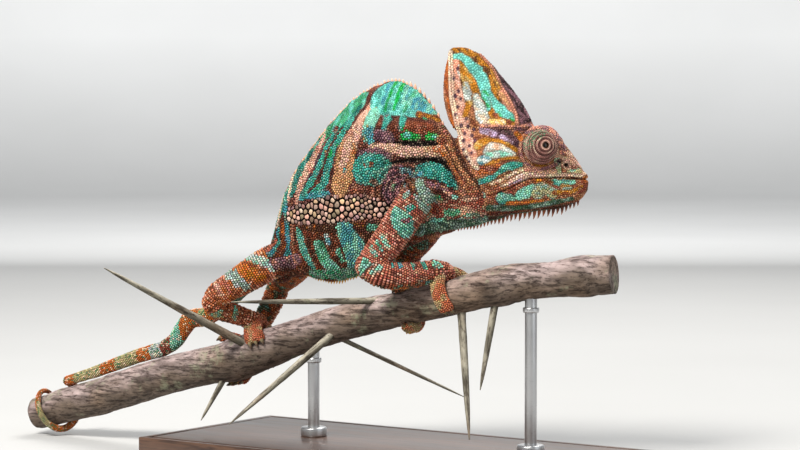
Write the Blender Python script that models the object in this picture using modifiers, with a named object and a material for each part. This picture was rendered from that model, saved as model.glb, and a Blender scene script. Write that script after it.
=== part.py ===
"""Veiled chameleon, adult male, life size: a still museum model on a cut branch and a stand.

The head, neck and trunk are lofted as a straight, symmetric animal with stations s (from the
shoulders towards the snout), t (towards the animal's left) and z (height). One plan curve then
bends them. Legs, feet, tail and perch are placed in the world frame: +X towards the head,
-Y on the animal's right, +Z up, with the origin at the centre of the base's underside.
Sizes are in millimetres and become metres in the meshes.
"""

import math

import bmesh
import bpy
import numpy as np
from mathutils import Matrix, Vector

MM = 0.001
GAP = 0.3  # clearance between neighbouring pieces
CUT = 0.4  # width of a parting cut

# Plan curve: (station, heading in degrees from +X towards +Y).
PLAN_TURNS = ((-120, -12), (-80, -10), (-40, -2), (0, 8), (25, 18), (38, 27), (100, 27))

# Trunk and neck: (station, top, bottom, half width).
TRUNK = (
    (-97, 104, 91, 5.2),
    (-90, 113, 90, 7.6),
    (-84, 126, 91, 9.4),
    (-78, 142, 94, 10.8),
    (-70, 154, 95, 12.2),
    (-60, 164.5, 93.5, 13.6),
    (-48, 176, 92.8, 14.8),
    (-36, 185.5, 95.5, 15.6),
    (-24, 191.8, 100.5, 16),
    (-12, 195.2, 108, 15.8),
    (-4, 193.4, 112, 15.2),
    (4, 188.5, 115, 14.2),
    (11, 180.5, 117, 13),
    (17, 171, 119, 12),
    (24, 163, 121.5, 11),
    (32, 156, 123.5, 10),
)
# How sharp an upright section's upper and lower edges are: 1 makes it an ellipse.
TRUNK_EDGES = (1.25, 1.05)
HEAD_EDGES = (0.95, 0.85)
# Head below the casque: (station, top, bottom, half width).
HEAD = (
    (20, 166, 121.5, 8),
    (26, 169, 122.5, 11.5),
    (34, 171.5, 124, 13.2),
    (44, 172.5, 127, 13.2),
    (54, 172.8, 129.5, 12),
    (62, 172.5, 131, 10.4),
    (69, 170.5, 131.8, 8.6),
    (75, 165.5, 132.6, 7.2),
    (80, 158.5, 134.2, 5.8),
    (84.5, 152, 137, 4.5),
    (87.6, 147.8, 141, 2.4),
)
# Casque: (height, front edge, rear edge, half width, how far the side ridge is set back).
CASQUE = (
    (163, 62, 24, 11.5, 12),
    (170, 61.5, 20.5, 10.5, 11),
    (176, 59.8, 17.8, 9.2, 9.5),
    (183, 56, 15.8, 7.8, 8.5),
    (190, 51.2, 15.0, 6.4, 7.5),
    (197, 45.5, 15.2, 5, 6.5),
    (203, 39.8, 15.8, 3.8, 5.5),
    (208, 34.4, 17.2, 2.7, 4.5),
    (211.6, 28, 19.6, 1.6, 3),
)
RIM_THICKNESS = 1.3  # half thickness of the casque's rear crest
FACETS = 28

EYE_STATION = 65
EYE_HEIGHT = 162.6
EYE_OFFSET = 9.4
TURRET_RADIUS = 8
TURRET_FLATTENING = 0.93
TURRET_MESH = (12, 8)  # segments and rings
EYEBALL_RADIUS = 4.6
EYEBALL_INSET = 0.6
APERTURE_RADIUS = 2
BROW_RADIUS = 9.6
BROW_PLACE = (-0.5, 5.2, 0.2)  # ahead of the eye, out from the midline, above the eye

# Parting cuts through head, neck and trunk, as lines of (station, height), and the station
# whose left-right axis each cut follows.
CASQUE_CUT = ((70, 176), (57.5, 174.6), (40, 172), (22, 169.6), (18.5, 169.1))
NECK_CUT = ((18.5, 172), (22, 163), (30, 148), (36.5, 134), (39, 112))
MOUTH_CUT = (
    (96, 147), (88, 147.2), (80, 147.8), (70, 148.8), (61, 149.8), (54, 148), (46, 143.2),
    (34.6, 137.2),
)
TRUNK_CUT = ((7, 210), (11, 180), (20, 140), (25, 105))
CUTS = ((CASQUE_CUT, 50), (NECK_CUT, 40), (MOUTH_CUT, 60), (TRUNK_CUT, 16))
KNIFE_DEPTH = 30

GULAR_CONES = 12
GULAR_STATIONS = (84, 8)  # first and last cone
GULAR_LENGTHS = ((8, 2.2), (20, 3), (35, 4), (55, 5.6), (70, 5), (84, 2.8))  # (station, length)

# Perch centre line: (x, y, z, radius), rising towards the head.
PERCH = (
    (-250, -6, 11.2, 8.6),
    (-228, -5, 17.4, 9.4),
    (-206, -4, 23.2, 9.8),
    (-176, -2.6, 32.6, 10.2),
    (-152, -1.5, 39.8, 10),
    (-132, -0.5, 44.4, 10),
    (-114, 0.1, 48.8, 11.2),
    (-97, 0.3, 54.6, 10.6),
    (-73, 0.6, 62.8, 9.2),
    (-41, 1, 72.8, 9.2),
    (-10, 1.4, 80.4, 8.8),
    (20, 1.9, 87.2, 8.8),
    (37, 3, 92, 9.4),
    (48, 4.6, 94.2, 9.8),
    (61, 6.6, 96.8, 9.2),
    (77, 9.7, 98.6, 8.8),
    (91, 13.3, 100.4, 10),
    (105, 17, 101.4, 9.4),
)
PERCH_SIDES = 12
PERCH_STEPS = 1  # tube rings from one knot to the next
# Thorns: (x on the perch, rise of the root above its centre, tip x, tip y, tip z, radius).
THORNS = (
    (-20, 6, -55, -78, 87, 1.7),
    (-45, -1, -71, -60, 24, 2),
    (-101, 1, -131, -85, 101, 2.2),
    (26, -3, 42, -14, 20, 2.1),
    (46, -3, 47, -12, 44.5, 1.9),
    (-54, -3, 8, 34, 33.5, 1.2),
    (-118, -3, -127, -14, 17, 1.6),
)
# Thorn profile: (share of the length from the perch's surface, share of the radius).
THORN_PROFILE = ((0, 1.3), (0.5, 0.85), (0.85, 0.5))
THORN_TIP_RADIUS = 0.35
THORN_ROOT = 4  # how deep a thorn starts inside the perch
THORN_SIDES = 6

# Limb segments: (x, y, z, radius) along each segment.
LIMBS = {
    "upper_arm_right": (
        (15, -5.5, 147, 7), (9, -12, 136, 8.8), (0, -20.5, 118, 8.2), (-7, -26, 105.7, 7.6),
    ),
    "forearm_right": (
        (-8, -27.5, 103.5, 7.2), (-1, -24, 99.5, 7), (8, -13, 99, 6.3), (15, -5, 101, 5.4),
    ),
    "upper_arm_left": (
        (12, 11, 146, 7), (5, 16.5, 135, 8.6), (-12, 26, 118, 7.8), (-25, 31, 108, 7.2),
    ),
    "forearm_left": (
        (-27, 31.5, 105, 6.8), (-24, 28, 98, 6.6), (-17, 22, 90, 6), (-11, 17, 84, 5.2),
    ),
    "thigh_right": (
        (-80, -5, 104, 8.6), (-87, -11, 99.5, 8.8), (-98, -18, 91.5, 7.6), (-109, -22.5, 84.5, 6.2),
    ),
    "shin_right": (
        (-111.5, -22.5, 80.5, 5.8), (-111, -18, 77, 5.8), (-107.5, -11, 74, 5.2), (-103, -4, 71, 4.8),
    ),
    "thigh_left": (
        (-81, 10.5, 103, 8.6), (-89, 17.5, 98, 8.6), (-99, 24, 92.5, 7.6), (-107.5, 28.5, 88, 6.4),
    ),
    "shin_left": (
        (-109, 29, 84.5, 6), (-111.5, 27, 77, 5.8), (-114, 23, 68.5, 5.2), (-115.5, 19, 60, 4.8),
    ),
}
LIMB_SIDES = 10
LIMB_STEPS = 1

# Feet: (x on the perch, palm angle from the top towards -Y, angles of the -Y and +Y bundles'
# tips, digits in each, lean of the bundles along the perch).
FEET = {
    "forefoot_right": (19, 4, (118, -112), (2, 3), (3, 9)),
    "forefoot_left": (-9, -78, (18, -206), (3, 2), (4, 5)),
    "hindfoot_right": (-97, -2, (64, -118), (3, 2), (5, -4)),
    "hindfoot_left": (-116.5, -80, (-4, -152), (2, 3), (-3, -4)),
}
DIGIT_RADIUS = 2.7
DIGIT_SPACING = 3.6
DIGIT_POINTS = 7
DIGIT_SIDES = 8
DIGIT_ARCH = 2.4  # how far its root stands off the perch
PALM_RADIUS = 6
PALM_LIFT = 3.8
PALM_SIDES = 12
CLAW_LENGTH = 4.5
# Claw: (share of its length from the digit's end, how far it curls inwards, radius).
CLAW_PROFILE = ((0.25, 0, 1.5), (0.8, 0.2, 1), (1.35, 1.2, 0.35))

# Tail: free stretch as (x, y, z, radius), then its turn round the perch.
TAIL_FREE = (
    (-92, 3.4, 102, 6.8),
    (-104, 4, 95, 6.4),
    (-116, 4.2, 86.5, 5.9),
    (-127, 4, 76.5, 5.4),
    (-137.5, 3, 70, 5),
    (-145.5, 1, 68.4, 4.8),
    (-151, 0, 62.5, 4.6),
    (-156, -0.6, 56, 4.3),
    (-163.5, -1.4, 51.6, 4.1),
)
TAIL_REST = (-176, -226, 6)  # x where it lies down on the perch, x where it starts to turn, points
TAIL_COIL_END = -246.5
TAIL_COIL_TURNS = 1.3
TAIL_COIL_POINTS = 18
TAIL_RADII = (3.8, 2.7, 1.2)  # where it lies down, starts to turn, and ends
TAIL_LIFT = 0.8  # between the tail and the perch, as both are faceted
TAIL_SIDES = 8
TAIL_GAP = 1.2  # between its lengths, whose end faces are not quite parallel
TAIL_CUTS = (5, 20)  # the first points of its second and third lengths
TAIL_NODES = ("tail_base", "tail_middle", "tail_tip")

BASE_SIZE = (270, 110, 12)
BASE_CORNER = 14
BASE_EDGE = 1.5
ROD_RADIUS = 3
ROD_SIDES = 16
RODS = {"stand_rod_front": 64, "stand_rod_rear": -64}
ROD_DEPTH = 6  # how far a rod enters the base and the perch

SKIN_FACES = 1700
FOOT_FACES = 155
FOOT_VOXEL = 0.75
BODY_VOXEL = 1.1
BODY_SMOOTHING = 4
FOOT_SMOOTHING = 2

FINISHES = {
    "head": ((0.46, 0.24, 0.12), 0.6, 0),
    "neck": ((0.32, 0.20, 0.11), 0.6, 0),
    "trunk": ((0.13, 0.36, 0.28), 0.6, 0),
    "limb": ((0.47, 0.18, 0.12), 0.6, 0),
    "tail": ((0.50, 0.36, 0.20), 0.6, 0),
    "turret": ((0.32, 0.22, 0.20), 0.55, 0),
    "eyeball": ((0.02, 0.015, 0.01), 0.1, 0),
    "bark": ((0.26, 0.20, 0.17), 0.85, 0),
    "base": ((0.05, 0.032, 0.022), 0.35, 0),
    "steel": ((0.6, 0.6, 0.62), 0.3, 1),
}


# Scene and object helpers


def clear_scene():
    for obj in list(bpy.data.objects):
        bpy.data.objects.remove(obj, do_unlink=True)


def new_collection(name):
    collection = bpy.data.collections.new(name)
    bpy.context.scene.collection.children.link(collection)
    return collection


def finish(name):
    if name in bpy.data.materials:
        return bpy.data.materials[name]
    colour, roughness, metallic = FINISHES[name]
    material = bpy.data.materials.new(name)
    material.use_nodes = True
    shader = material.node_tree.nodes["Principled BSDF"]
    shader.inputs["Base Color"].default_value = (*colour, 1)
    shader.inputs["Roughness"].default_value = roughness
    shader.inputs["Metallic"].default_value = metallic
    return material


def add_object(name, mesh, collection):
    obj = bpy.data.objects.new(name, mesh)
    collection.objects.link(obj)
    return obj


def as_cutter(obj):
    obj.hide_render = True
    obj.display_type = "WIRE"
    return obj


def evaluated_mesh(obj, name):
    graph = bpy.context.evaluated_depsgraph_get()
    return bpy.data.meshes.new_from_object(obj.evaluated_get(graph), preserve_all_data_layers=False)


def apply_modifiers(obj):
    """Replaces the object's mesh by the evaluated one, so that later cuts start from it."""
    mesh = evaluated_mesh(obj, obj.name)
    obj.modifiers.clear()
    old = obj.data
    obj.data = mesh
    bpy.data.meshes.remove(old)


def boolean(obj, other, operation):
    modifier = obj.modifiers.new(operation.title(), "BOOLEAN")
    modifier.operation = operation
    modifier.solver = "EXACT"
    modifier.object = other
    apply_modifiers(obj)


def remove(obj):
    bpy.data.objects.remove(obj, do_unlink=True)


def move_to(obj, collection):
    for owner in list(obj.users_collection):
        owner.objects.unlink(obj)
    collection.objects.link(obj)


# Curves and lofts


def plan_curve(station):
    """(x, y, heading) of the plan curve, with station 0 at the world's x = y = 0."""
    stations, degrees = zip(*PLAN_TURNS)
    steps = np.linspace(0, station, 65)
    headings = np.radians(np.interp(steps, stations, degrees))
    between = (headings[1:] + headings[:-1]) / 2
    step = station / len(between)
    return np.cos(between).sum() * step, np.sin(between).sum() * step, headings[-1]


def bent(station, offset, height):
    """World point of the straight animal's point (station, offset to the left, height)."""
    x, y, heading = plan_curve(station)
    return Vector((x - offset * math.sin(heading), y + offset * math.cos(heading), height)) * MM


def smooth(knots, steps):
    """Points of a Catmull-Rom curve through the knots, with any number of values in each."""
    knots = np.array(knots, float)
    padded = np.vstack([2 * knots[0] - knots[1], knots, 2 * knots[-1] - knots[-2]])
    points = []
    for before, start, end, after in zip(padded, padded[1:], padded[2:], padded[3:]):
        for u in np.arange(steps) / steps:
            slope = end - before
            bend = 2 * before - 5 * start + 4 * end - after
            twist = 3 * start - before - 3 * end + after
            points.append((2 * start + slope * u + bend * u**2 + twist * u**3) / 2)
    points.append(knots[-1])
    return np.array(points)


def loft(name, rings, collection):
    """A closed body through rings of the same number of points, with flat ends."""
    mesh = bmesh.new()
    rows = [[mesh.verts.new(point) for point in ring] for ring in rings]
    for row, following in zip(rows, rows[1:]):
        for index in range(len(row)):
            after = (index + 1) % len(row)
            mesh.faces.new((row[index], row[after], following[after], following[index]))
    mesh.faces.new(rows[0][::-1])
    mesh.faces.new(rows[-1])
    if mesh.calc_volume(signed=True) < 0:
        bmesh.ops.reverse_faces(mesh, faces=mesh.faces)
    data = bpy.data.meshes.new(name)
    mesh.to_mesh(data)
    mesh.free()
    return add_object(name, data, collection)


def tube(name, points, sides, collection, extra=0.0):
    """A round tube through points (x, y, z, radius), as a closed mesh."""
    curve = bpy.data.curves.new(name, "CURVE")
    curve.dimensions = "3D"
    curve.bevel_depth = MM
    curve.bevel_resolution = (sides - 4) // 2
    curve.use_fill_caps = True
    spline = curve.splines.new("POLY")
    spline.points.add(len(points) - 1)
    for point, (x, y, z, radius) in zip(spline.points, points):
        point.co = (x * MM, y * MM, z * MM, 1)
        point.radius = radius + extra
    holder = add_object(name + "_curve", curve, collection)
    data = evaluated_mesh(holder, name)
    remove(holder)
    mesh = bmesh.new()
    mesh.from_mesh(data)
    bmesh.ops.remove_doubles(mesh, verts=mesh.verts, dist=1e-6)
    bmesh.ops.recalc_face_normals(mesh, faces=mesh.faces)
    mesh.to_mesh(data)
    mesh.free()
    data.name = name
    return add_object(name, data, collection)


def rounded_ends(points, start=True, end=True):
    """The points with two rings more at each end, so that the tube ends in a dome."""
    points = [np.array(point, float) for point in points]

    def dome(last, inner):
        outward = (last - inner)[:3]
        outward = outward / np.linalg.norm(outward)
        return [
            np.append(last[:3] + outward * last[3] * math.sin(turn), last[3] * math.cos(turn))
            for turn in (math.radians(38), math.radians(70))
        ]

    front = dome(points[0], points[1])[::-1] if start else []
    back = dome(points[-1], points[-2]) if end else []
    return front + points + back


def slab(name, line, width, frame_station, half_depth, collection):
    """A thin wall through a line of (station, height), level across the body at one station."""
    origin_x, origin_y, heading = plan_curve(frame_station)
    line = np.array(line, float)
    ahead = np.gradient(line, axis=0)
    normals = np.stack([-ahead[:, 1], ahead[:, 0]], axis=1)
    normals /= np.linalg.norm(normals, axis=1)[:, None]
    rings = []
    for point, normal in zip(line, normals):
        ring = []
        for side, shift in ((-1, -1), (1, -1), (1, 1), (-1, 1)):
            station, height = point + normal * shift * width / 2
            along, across = station - frame_station, side * half_depth
            x = origin_x + along * math.cos(heading) - across * math.sin(heading)
            y = origin_y + along * math.sin(heading) + across * math.cos(heading)
            ring.append(Vector((x, y, height)) * MM)
        rings.append(ring)
    return as_cutter(loft(name, rings, collection))


# The perch's own frame


def perch_at(x):
    """(centre, radius, along, side) of the perch at a world x; side is level, towards -Y."""
    line = smooth(PERCH, PERCH_STEPS)
    centre, ahead = (
        np.array([place, *(np.interp(place, line[:, 0], line[:, axis]) for axis in (1, 2))])
        for place in (x, x + 1)
    )
    along = (ahead - centre) / np.linalg.norm(ahead - centre)
    side = np.cross(along, (0, 0, 1))
    side /= np.linalg.norm(side)
    return centre, np.interp(x, line[:, 0], line[:, 3]), along, side


def round_perch(x, degrees, distance):
    """World point at an angle from the perch's top towards -Y, a distance off its surface."""
    centre, radius, along, side = perch_at(x)
    top = np.cross(side, along)
    turn = math.radians(degrees)
    return centre + (radius + distance) * (math.cos(turn) * top + math.sin(turn) * side)


# Body


def body_section(station, top, bottom, half_width, crown, keel):
    """One upright section: crown and keel tell how sharp its upper and lower edges are."""
    ring = []
    middle = (top + bottom) / 2
    for index in range(FACETS):
        turn = 2 * math.pi * index / FACETS
        rise = math.sin(turn)
        sharpness = crown if rise > 0 else keel
        width = half_width * math.copysign(abs(math.cos(turn)) ** sharpness, math.cos(turn))
        ring.append(bent(station, width, middle + (top - bottom) / 2 * rise))
    return ring


def casque_section(height, front, rear, half_width, setback):
    """One level section: pointed in front, widest at the side ridge, thin along the rear crest."""
    side = (
        (front, 0), (front - setback * 0.45, half_width * 0.62), (front - setback, half_width),
        (front - setback - (front - setback - rear) * 0.4, half_width * 0.82),
        (rear + (front - setback - rear) * 0.22, max(half_width * 0.5, RIM_THICKNESS)),
        (rear + 1.2, RIM_THICKNESS), (rear, 0),
    )
    mirrored = [(station, -offset) for station, offset in side[-2:0:-1]]
    return [bent(station, offset, height) for station, offset in (*side, *mirrored)]


def ball(name, centre, radius, collection, segments=16, rings=10, flattening=1.0):
    """A sphere at a world point, flattened along the head's own left-right axis."""
    bpy.ops.mesh.primitive_uv_sphere_add(segments=segments, ring_count=rings, radius=radius * MM)
    obj = bpy.context.object
    obj.name = name
    flat = Matrix.Diagonal((1, 1, flattening, 1))
    lay = Matrix.Rotation(math.pi / 2, 4, "X")
    turn = Matrix.Rotation(plan_curve(EYE_STATION)[2], 4, "Z")
    obj.data.transform(Matrix.Translation(centre) @ turn @ lay @ flat)
    move_to(obj, collection)
    return obj


def join(name, pieces):
    """One mesh object holding all the pieces."""
    mesh = bmesh.new()
    for piece in pieces:
        mesh.from_mesh(piece.data)
    data = bpy.data.meshes.new(name)
    mesh.to_mesh(data)
    mesh.free()
    collection = pieces[0].users_collection[0]
    for piece in pieces:
        remove(piece)
    return add_object(name, data, collection)


def fused(obj, voxel, faces, passes):
    """Melts overlapping closed pieces into one skin of about so many triangles."""
    remesh = obj.modifiers.new("Fuse", "REMESH")
    remesh.mode = "VOXEL"
    remesh.voxel_size = voxel * MM
    soften = obj.modifiers.new("Soften", "SMOOTH")
    soften.factor = 0.5
    soften.iterations = passes
    apply_modifiers(obj)
    triangles = sum(len(face.vertices) - 2 for face in obj.data.polygons)
    fewer = obj.modifiers.new("Fewer", "DECIMATE")
    fewer.ratio = faces / triangles
    fewer.use_collapse_triangulate = True
    apply_modifiers(obj)
    return obj


def make_body(cutters):
    trunk_rings = [body_section(*row, *TRUNK_EDGES) for row in smooth(TRUNK, 2)]
    head_rings = [body_section(*row, *HEAD_EDGES) for row in smooth(HEAD, 2)]
    trunk = loft("trunk_loft", trunk_rings, cutters)
    head = loft("head_loft", head_rings, cutters)
    casque = loft("casque_loft", [casque_section(*row) for row in smooth(CASQUE, 2)], cutters)
    ahead, out, above = BROW_PLACE
    brows = [
        ball("brow", bent(EYE_STATION + ahead, side * out, EYE_HEIGHT + above), BROW_RADIUS, cutters)
        for side in (-1, 1)
    ]
    return fused(join("body", [trunk, head, casque, *brows]), BODY_VOXEL, SKIN_FACES, BODY_SMOOTHING)


def loose_pieces(obj):
    """Splits an object into its separate bodies and returns them."""
    bpy.ops.object.select_all(action="DESELECT")
    bpy.context.view_layer.objects.active = obj
    obj.select_set(True)
    bpy.ops.mesh.separate(type="LOOSE")
    return list(bpy.context.selected_objects)


def largest_piece(obj):
    """Drops the crumbs that a cut leaves, and returns the object that holds the rest."""
    name = obj.name
    pieces = sorted(loose_pieces(obj), key=lambda piece: len(piece.data.vertices))
    for piece in pieces[:-1]:
        remove(piece)
    pieces[-1].name = name
    return pieces[-1]


def centre_of(obj):
    points = np.array([vertex.co for vertex in obj.data.vertices])
    return Vector(points.mean(axis=0))


def cut_apart(obj, cuts, seeds, cutters):
    """Parts an object along thin slabs, and names each piece by the nearest seed."""
    for line, frame_station in cuts:
        knife = slab("knife", line, CUT, frame_station, KNIFE_DEPTH, cutters)
        boolean(obj, knife, "DIFFERENCE")
        remove(knife)
    pieces = {}
    for piece in loose_pieces(obj):
        centre = centre_of(piece)
        name = min(seeds, key=lambda seed: (centre - seeds[seed]).length)
        if name in pieces and len(pieces[name].data.vertices) > len(piece.data.vertices):
            remove(piece)
            continue
        if name in pieces:
            remove(pieces[name])
        pieces[name] = piece
    for name, piece in pieces.items():
        piece.name = name
        piece.data.name = name
    return pieces


def gular_cones(cutters):
    """The throat's crest: a row of cones that shorten from the jaw to the chest."""
    cones = []
    floor = sorted((row[0], row[2]) for row in TRUNK + HEAD)
    for station in np.linspace(*GULAR_STATIONS, GULAR_CONES):
        length = np.interp(station, *zip(*GULAR_LENGTHS))
        bottom = np.interp(station, *zip(*floor))
        root = bent(station, 0, bottom + 1.8) / MM
        tip = bent(station - 0.3 * length, 0, bottom - length) / MM
        cones.append(tube("gular_cone", [(*root, 1.7), (*tip, 0.3)], 6, cutters))
    return cones


def make_eyes(head, parts, cutters):
    """Turrets let into the head, each hollowed round its eyeball and open at the pupil."""
    for name, side in (("right", -1), ("left", 1)):
        centre = bent(EYE_STATION, side * EYE_OFFSET, EYE_HEIGHT)
        reach = TURRET_RADIUS * TURRET_FLATTENING - EYEBALL_RADIUS - EYEBALL_INSET
        eye_centre = bent(EYE_STATION, side * (EYE_OFFSET + reach), EYE_HEIGHT)
        outside = bent(EYE_STATION, side * (EYE_OFFSET + TURRET_RADIUS + 2), EYE_HEIGHT)
        socket = ball("socket", centre, TURRET_RADIUS + GAP, cutters, flattening=TURRET_FLATTENING)
        boolean(head, socket, "DIFFERENCE")
        remove(socket)
        turret = ball(
            f"eye_turret_{name}", centre, TURRET_RADIUS, parts, *TURRET_MESH, TURRET_FLATTENING
        )
        hollow = ball("hollow", eye_centre, EYEBALL_RADIUS + GAP, cutters, *TURRET_MESH)
        boolean(turret, hollow, "DIFFERENCE")
        remove(hollow)
        pupil = tube(
            "pupil", [(*(eye_centre / MM), APERTURE_RADIUS), (*(outside / MM), APERTURE_RADIUS + 0.6)],
            10, cutters,
        )
        boolean(turret, pupil, "DIFFERENCE")
        remove(pupil)
        turret.data.materials.append(finish("turret"))
        eyeball = ball(f"eyeball_{name}", eye_centre, EYEBALL_RADIUS, parts, *TURRET_MESH)
        eyeball.data.materials.append(finish("eyeball"))


# Limbs


def limb_points(name):
    """A segment's points; a thigh starts flat, as both start close to the midline."""
    return rounded_ends(smooth(LIMBS[name], LIMB_STEPS), start=not name.startswith("thigh"))


def make_limbs(parts, cutters):
    """Each segment is cut by the one nearer the body, so that they meet without touching."""
    limbs = {}
    for name in LIMBS:
        limbs[name] = tube(name, limb_points(name), LIMB_SIDES, parts)
        limbs[name].data.materials.append(finish("limb"))
    for side in ("right", "left"):
        for upper, lower in (("upper_arm", "forearm"), ("thigh", "shin")):
            keep_clear(limbs[f"{lower}_{side}"], f"{upper}_{side}", cutters)
    return limbs


def keep_clear(obj, limb, cutters):
    """Cuts an object back to a gap from a limb segment."""
    cutter = tube(limb + "_cutter", limb_points(limb), LIMB_SIDES, cutters, GAP)
    boolean(obj, cutter, "DIFFERENCE")
    remove(cutter)


def digit(x, palm, tip, lean, place, cutters):
    """One digit with its claw, from the palm round the perch; place is its rank in the bundle."""
    knots = []
    for share in np.linspace(0, 1, DIGIT_POINTS):
        degrees = palm + (tip - palm) * share
        along = x + place * DIGIT_SPACING * (0.55 + 0.45 * share) + lean * share
        radius = DIGIT_RADIUS * (1.08 - 0.25 * share)
        lift = radius * 0.9 + DIGIT_ARCH * (1 - share) ** 2
        knots.append((*round_perch(along, degrees, lift), radius))
    end = np.array(knots[-1][:3])
    way = end - np.array(knots[-2][:3])
    way /= np.linalg.norm(way)
    inward = perch_at(x)[0] - end
    inward /= np.linalg.norm(inward)
    claw = [
        (*(end + way * CLAW_LENGTH * share + inward * curl), radius)
        for share, curl, radius in CLAW_PROFILE
    ]
    return [
        tube("digit", rounded_ends(knots), DIGIT_SIDES, cutters),
        tube("claw", claw, DIGIT_SIDES, cutters),
    ]


def make_foot(name, parts, cutters):
    x, palm, tips, counts, leans = FEET[name]
    pieces = []
    for tip, count, lean in zip(tips, counts, leans):
        for index in range(count):
            pieces += digit(x, palm, tip, lean, index - (count - 1) / 2, cutters)
    lower = name.replace("forefoot", "forearm").replace("hindfoot", "shin")
    wrist = np.array(LIMBS[lower][-1])
    middle = np.append(round_perch(x, palm, PALM_LIFT), PALM_RADIUS)
    palm_line = rounded_ends([wrist, (wrist + middle) / 2, middle])
    pieces.append(tube("palm", palm_line, PALM_SIDES, cutters))
    foot = fused(join(name, pieces), FOOT_VOXEL, FOOT_FACES, FOOT_SMOOTHING)
    move_to(foot, parts)
    keep_clear(foot, lower, cutters)
    foot.data.materials.append(finish("limb"))
    return largest_piece(foot)


# Tail


def tail_points():
    """(x, y, z, radius) down from the hips, along the perch and round it."""
    lying, turning, tip = TAIL_RADII
    resting, turn, count = TAIL_REST
    points = list(smooth(TAIL_FREE, 2))
    for x in np.linspace(resting, turn, count):
        radius = np.interp(x, (turn, resting), (turning, lying))
        points.append((*round_perch(x, 0, radius + TAIL_LIFT), radius))
    for share in np.arange(1, TAIL_COIL_POINTS + 1) / TAIL_COIL_POINTS:
        x = turn + (TAIL_COIL_END - turn) * share
        radius = turning + (tip - turning) * share
        degrees = -360 * TAIL_COIL_TURNS * share**1.3
        points.append((*round_perch(x, degrees, radius + TAIL_LIFT), radius))
    return points


def make_tail(parts):
    points = tail_points()
    ends = (0, *TAIL_CUTS, len(points))
    for name, first, last in zip(TAIL_NODES, ends, ends[1:]):
        stretch = points[first:last]
        if first:
            opening = np.array(stretch[0], float)
            before = np.array(points[first - 1], float)
            length = np.linalg.norm((before - opening)[:3])
            opening += (before - opening) * (1 - TAIL_GAP / length)
            stretch = [opening, *stretch]
        if last == len(points):
            stretch = rounded_ends(stretch, start=False)
        piece = tube(name, stretch, TAIL_SIDES, parts)
        piece.data.materials.append(finish("tail"))


# Perch and stand


def perch_tube(collection, name="perch_branch", extra=0.0):
    return tube(name, smooth(PERCH, PERCH_STEPS), PERCH_SIDES, collection, extra)


def make_perch(parts, cutters):
    perch = perch_tube(parts)
    for x, rise, *tip, radius in THORNS:
        centre, perch_radius, *_ = perch_at(x)
        centre = centre + np.array((0, 0, rise))
        tip = np.array(tip, float)
        way = (tip - centre) / np.linalg.norm(tip - centre)
        surface = centre + way * (perch_radius - abs(rise))
        points = [(*(surface - way * THORN_ROOT), radius * THORN_PROFILE[0][1])]
        points += [
            (*(surface + (tip - surface) * share), radius * width) for share, width in THORN_PROFILE
        ]
        thorn = tube("thorn", [*points, (*tip, THORN_TIP_RADIUS)], THORN_SIDES, cutters)
        boolean(perch, thorn, "UNION")
        remove(thorn)
    perch.data.materials.append(finish("bark"))
    return perch


def make_base(parts):
    length, width, height = BASE_SIZE
    bpy.ops.mesh.primitive_cube_add(size=1, location=(0, 0, height / 2 * MM))
    base = bpy.context.object
    base.name = "stand_base"
    base.data.transform(Matrix.Diagonal((length * MM, width * MM, height * MM, 1)))
    mesh = bmesh.new()
    mesh.from_mesh(base.data)
    upright = [edge for edge in mesh.edges if abs(edge.verts[0].co.z - edge.verts[1].co.z) > MM]
    bmesh.ops.bevel(
        mesh, geom=upright, offset=BASE_CORNER * MM, segments=4, profile=0.5, affect="EDGES"
    )
    top = max(vertex.co.z for vertex in mesh.verts)
    rim = [edge for edge in mesh.edges if all(top - vertex.co.z < 1e-6 for vertex in edge.verts)]
    bmesh.ops.bevel(mesh, geom=rim, offset=BASE_EDGE * MM, segments=1, profile=0.5, affect="EDGES")
    mesh.to_mesh(base.data)
    mesh.free()
    move_to(base, parts)
    base.data.materials.append(finish("base"))
    return base


def make_stand(perch, parts, cutters):
    """A flat base and two rods that stand in blind holes in the base and the perch."""
    base = make_base(parts)
    for name, x in RODS.items():
        centre, radius, *_ = perch_at(x)
        low = BASE_SIZE[2] - ROD_DEPTH
        high = centre[2] - radius + ROD_DEPTH
        foot, head = (x, centre[1], low), (x, centre[1], high)
        rod = tube(name, [(*foot, ROD_RADIUS), (*head, ROD_RADIUS)], ROD_SIDES, parts)
        rod.data.materials.append(finish("steel"))
        hole = tube(
            "hole",
            [(x, centre[1], low - GAP, ROD_RADIUS), (x, centre[1], high + GAP, ROD_RADIUS)],
            ROD_SIDES, cutters, GAP,
        )
        for holder in (perch, base):
            boolean(holder, hole, "DIFFERENCE")
        remove(hole)


def shade(parts):
    for obj in parts.objects:
        obj.data.shade_smooth()
        obj.data.set_sharp_from_angle(angle=math.radians(50))


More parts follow.
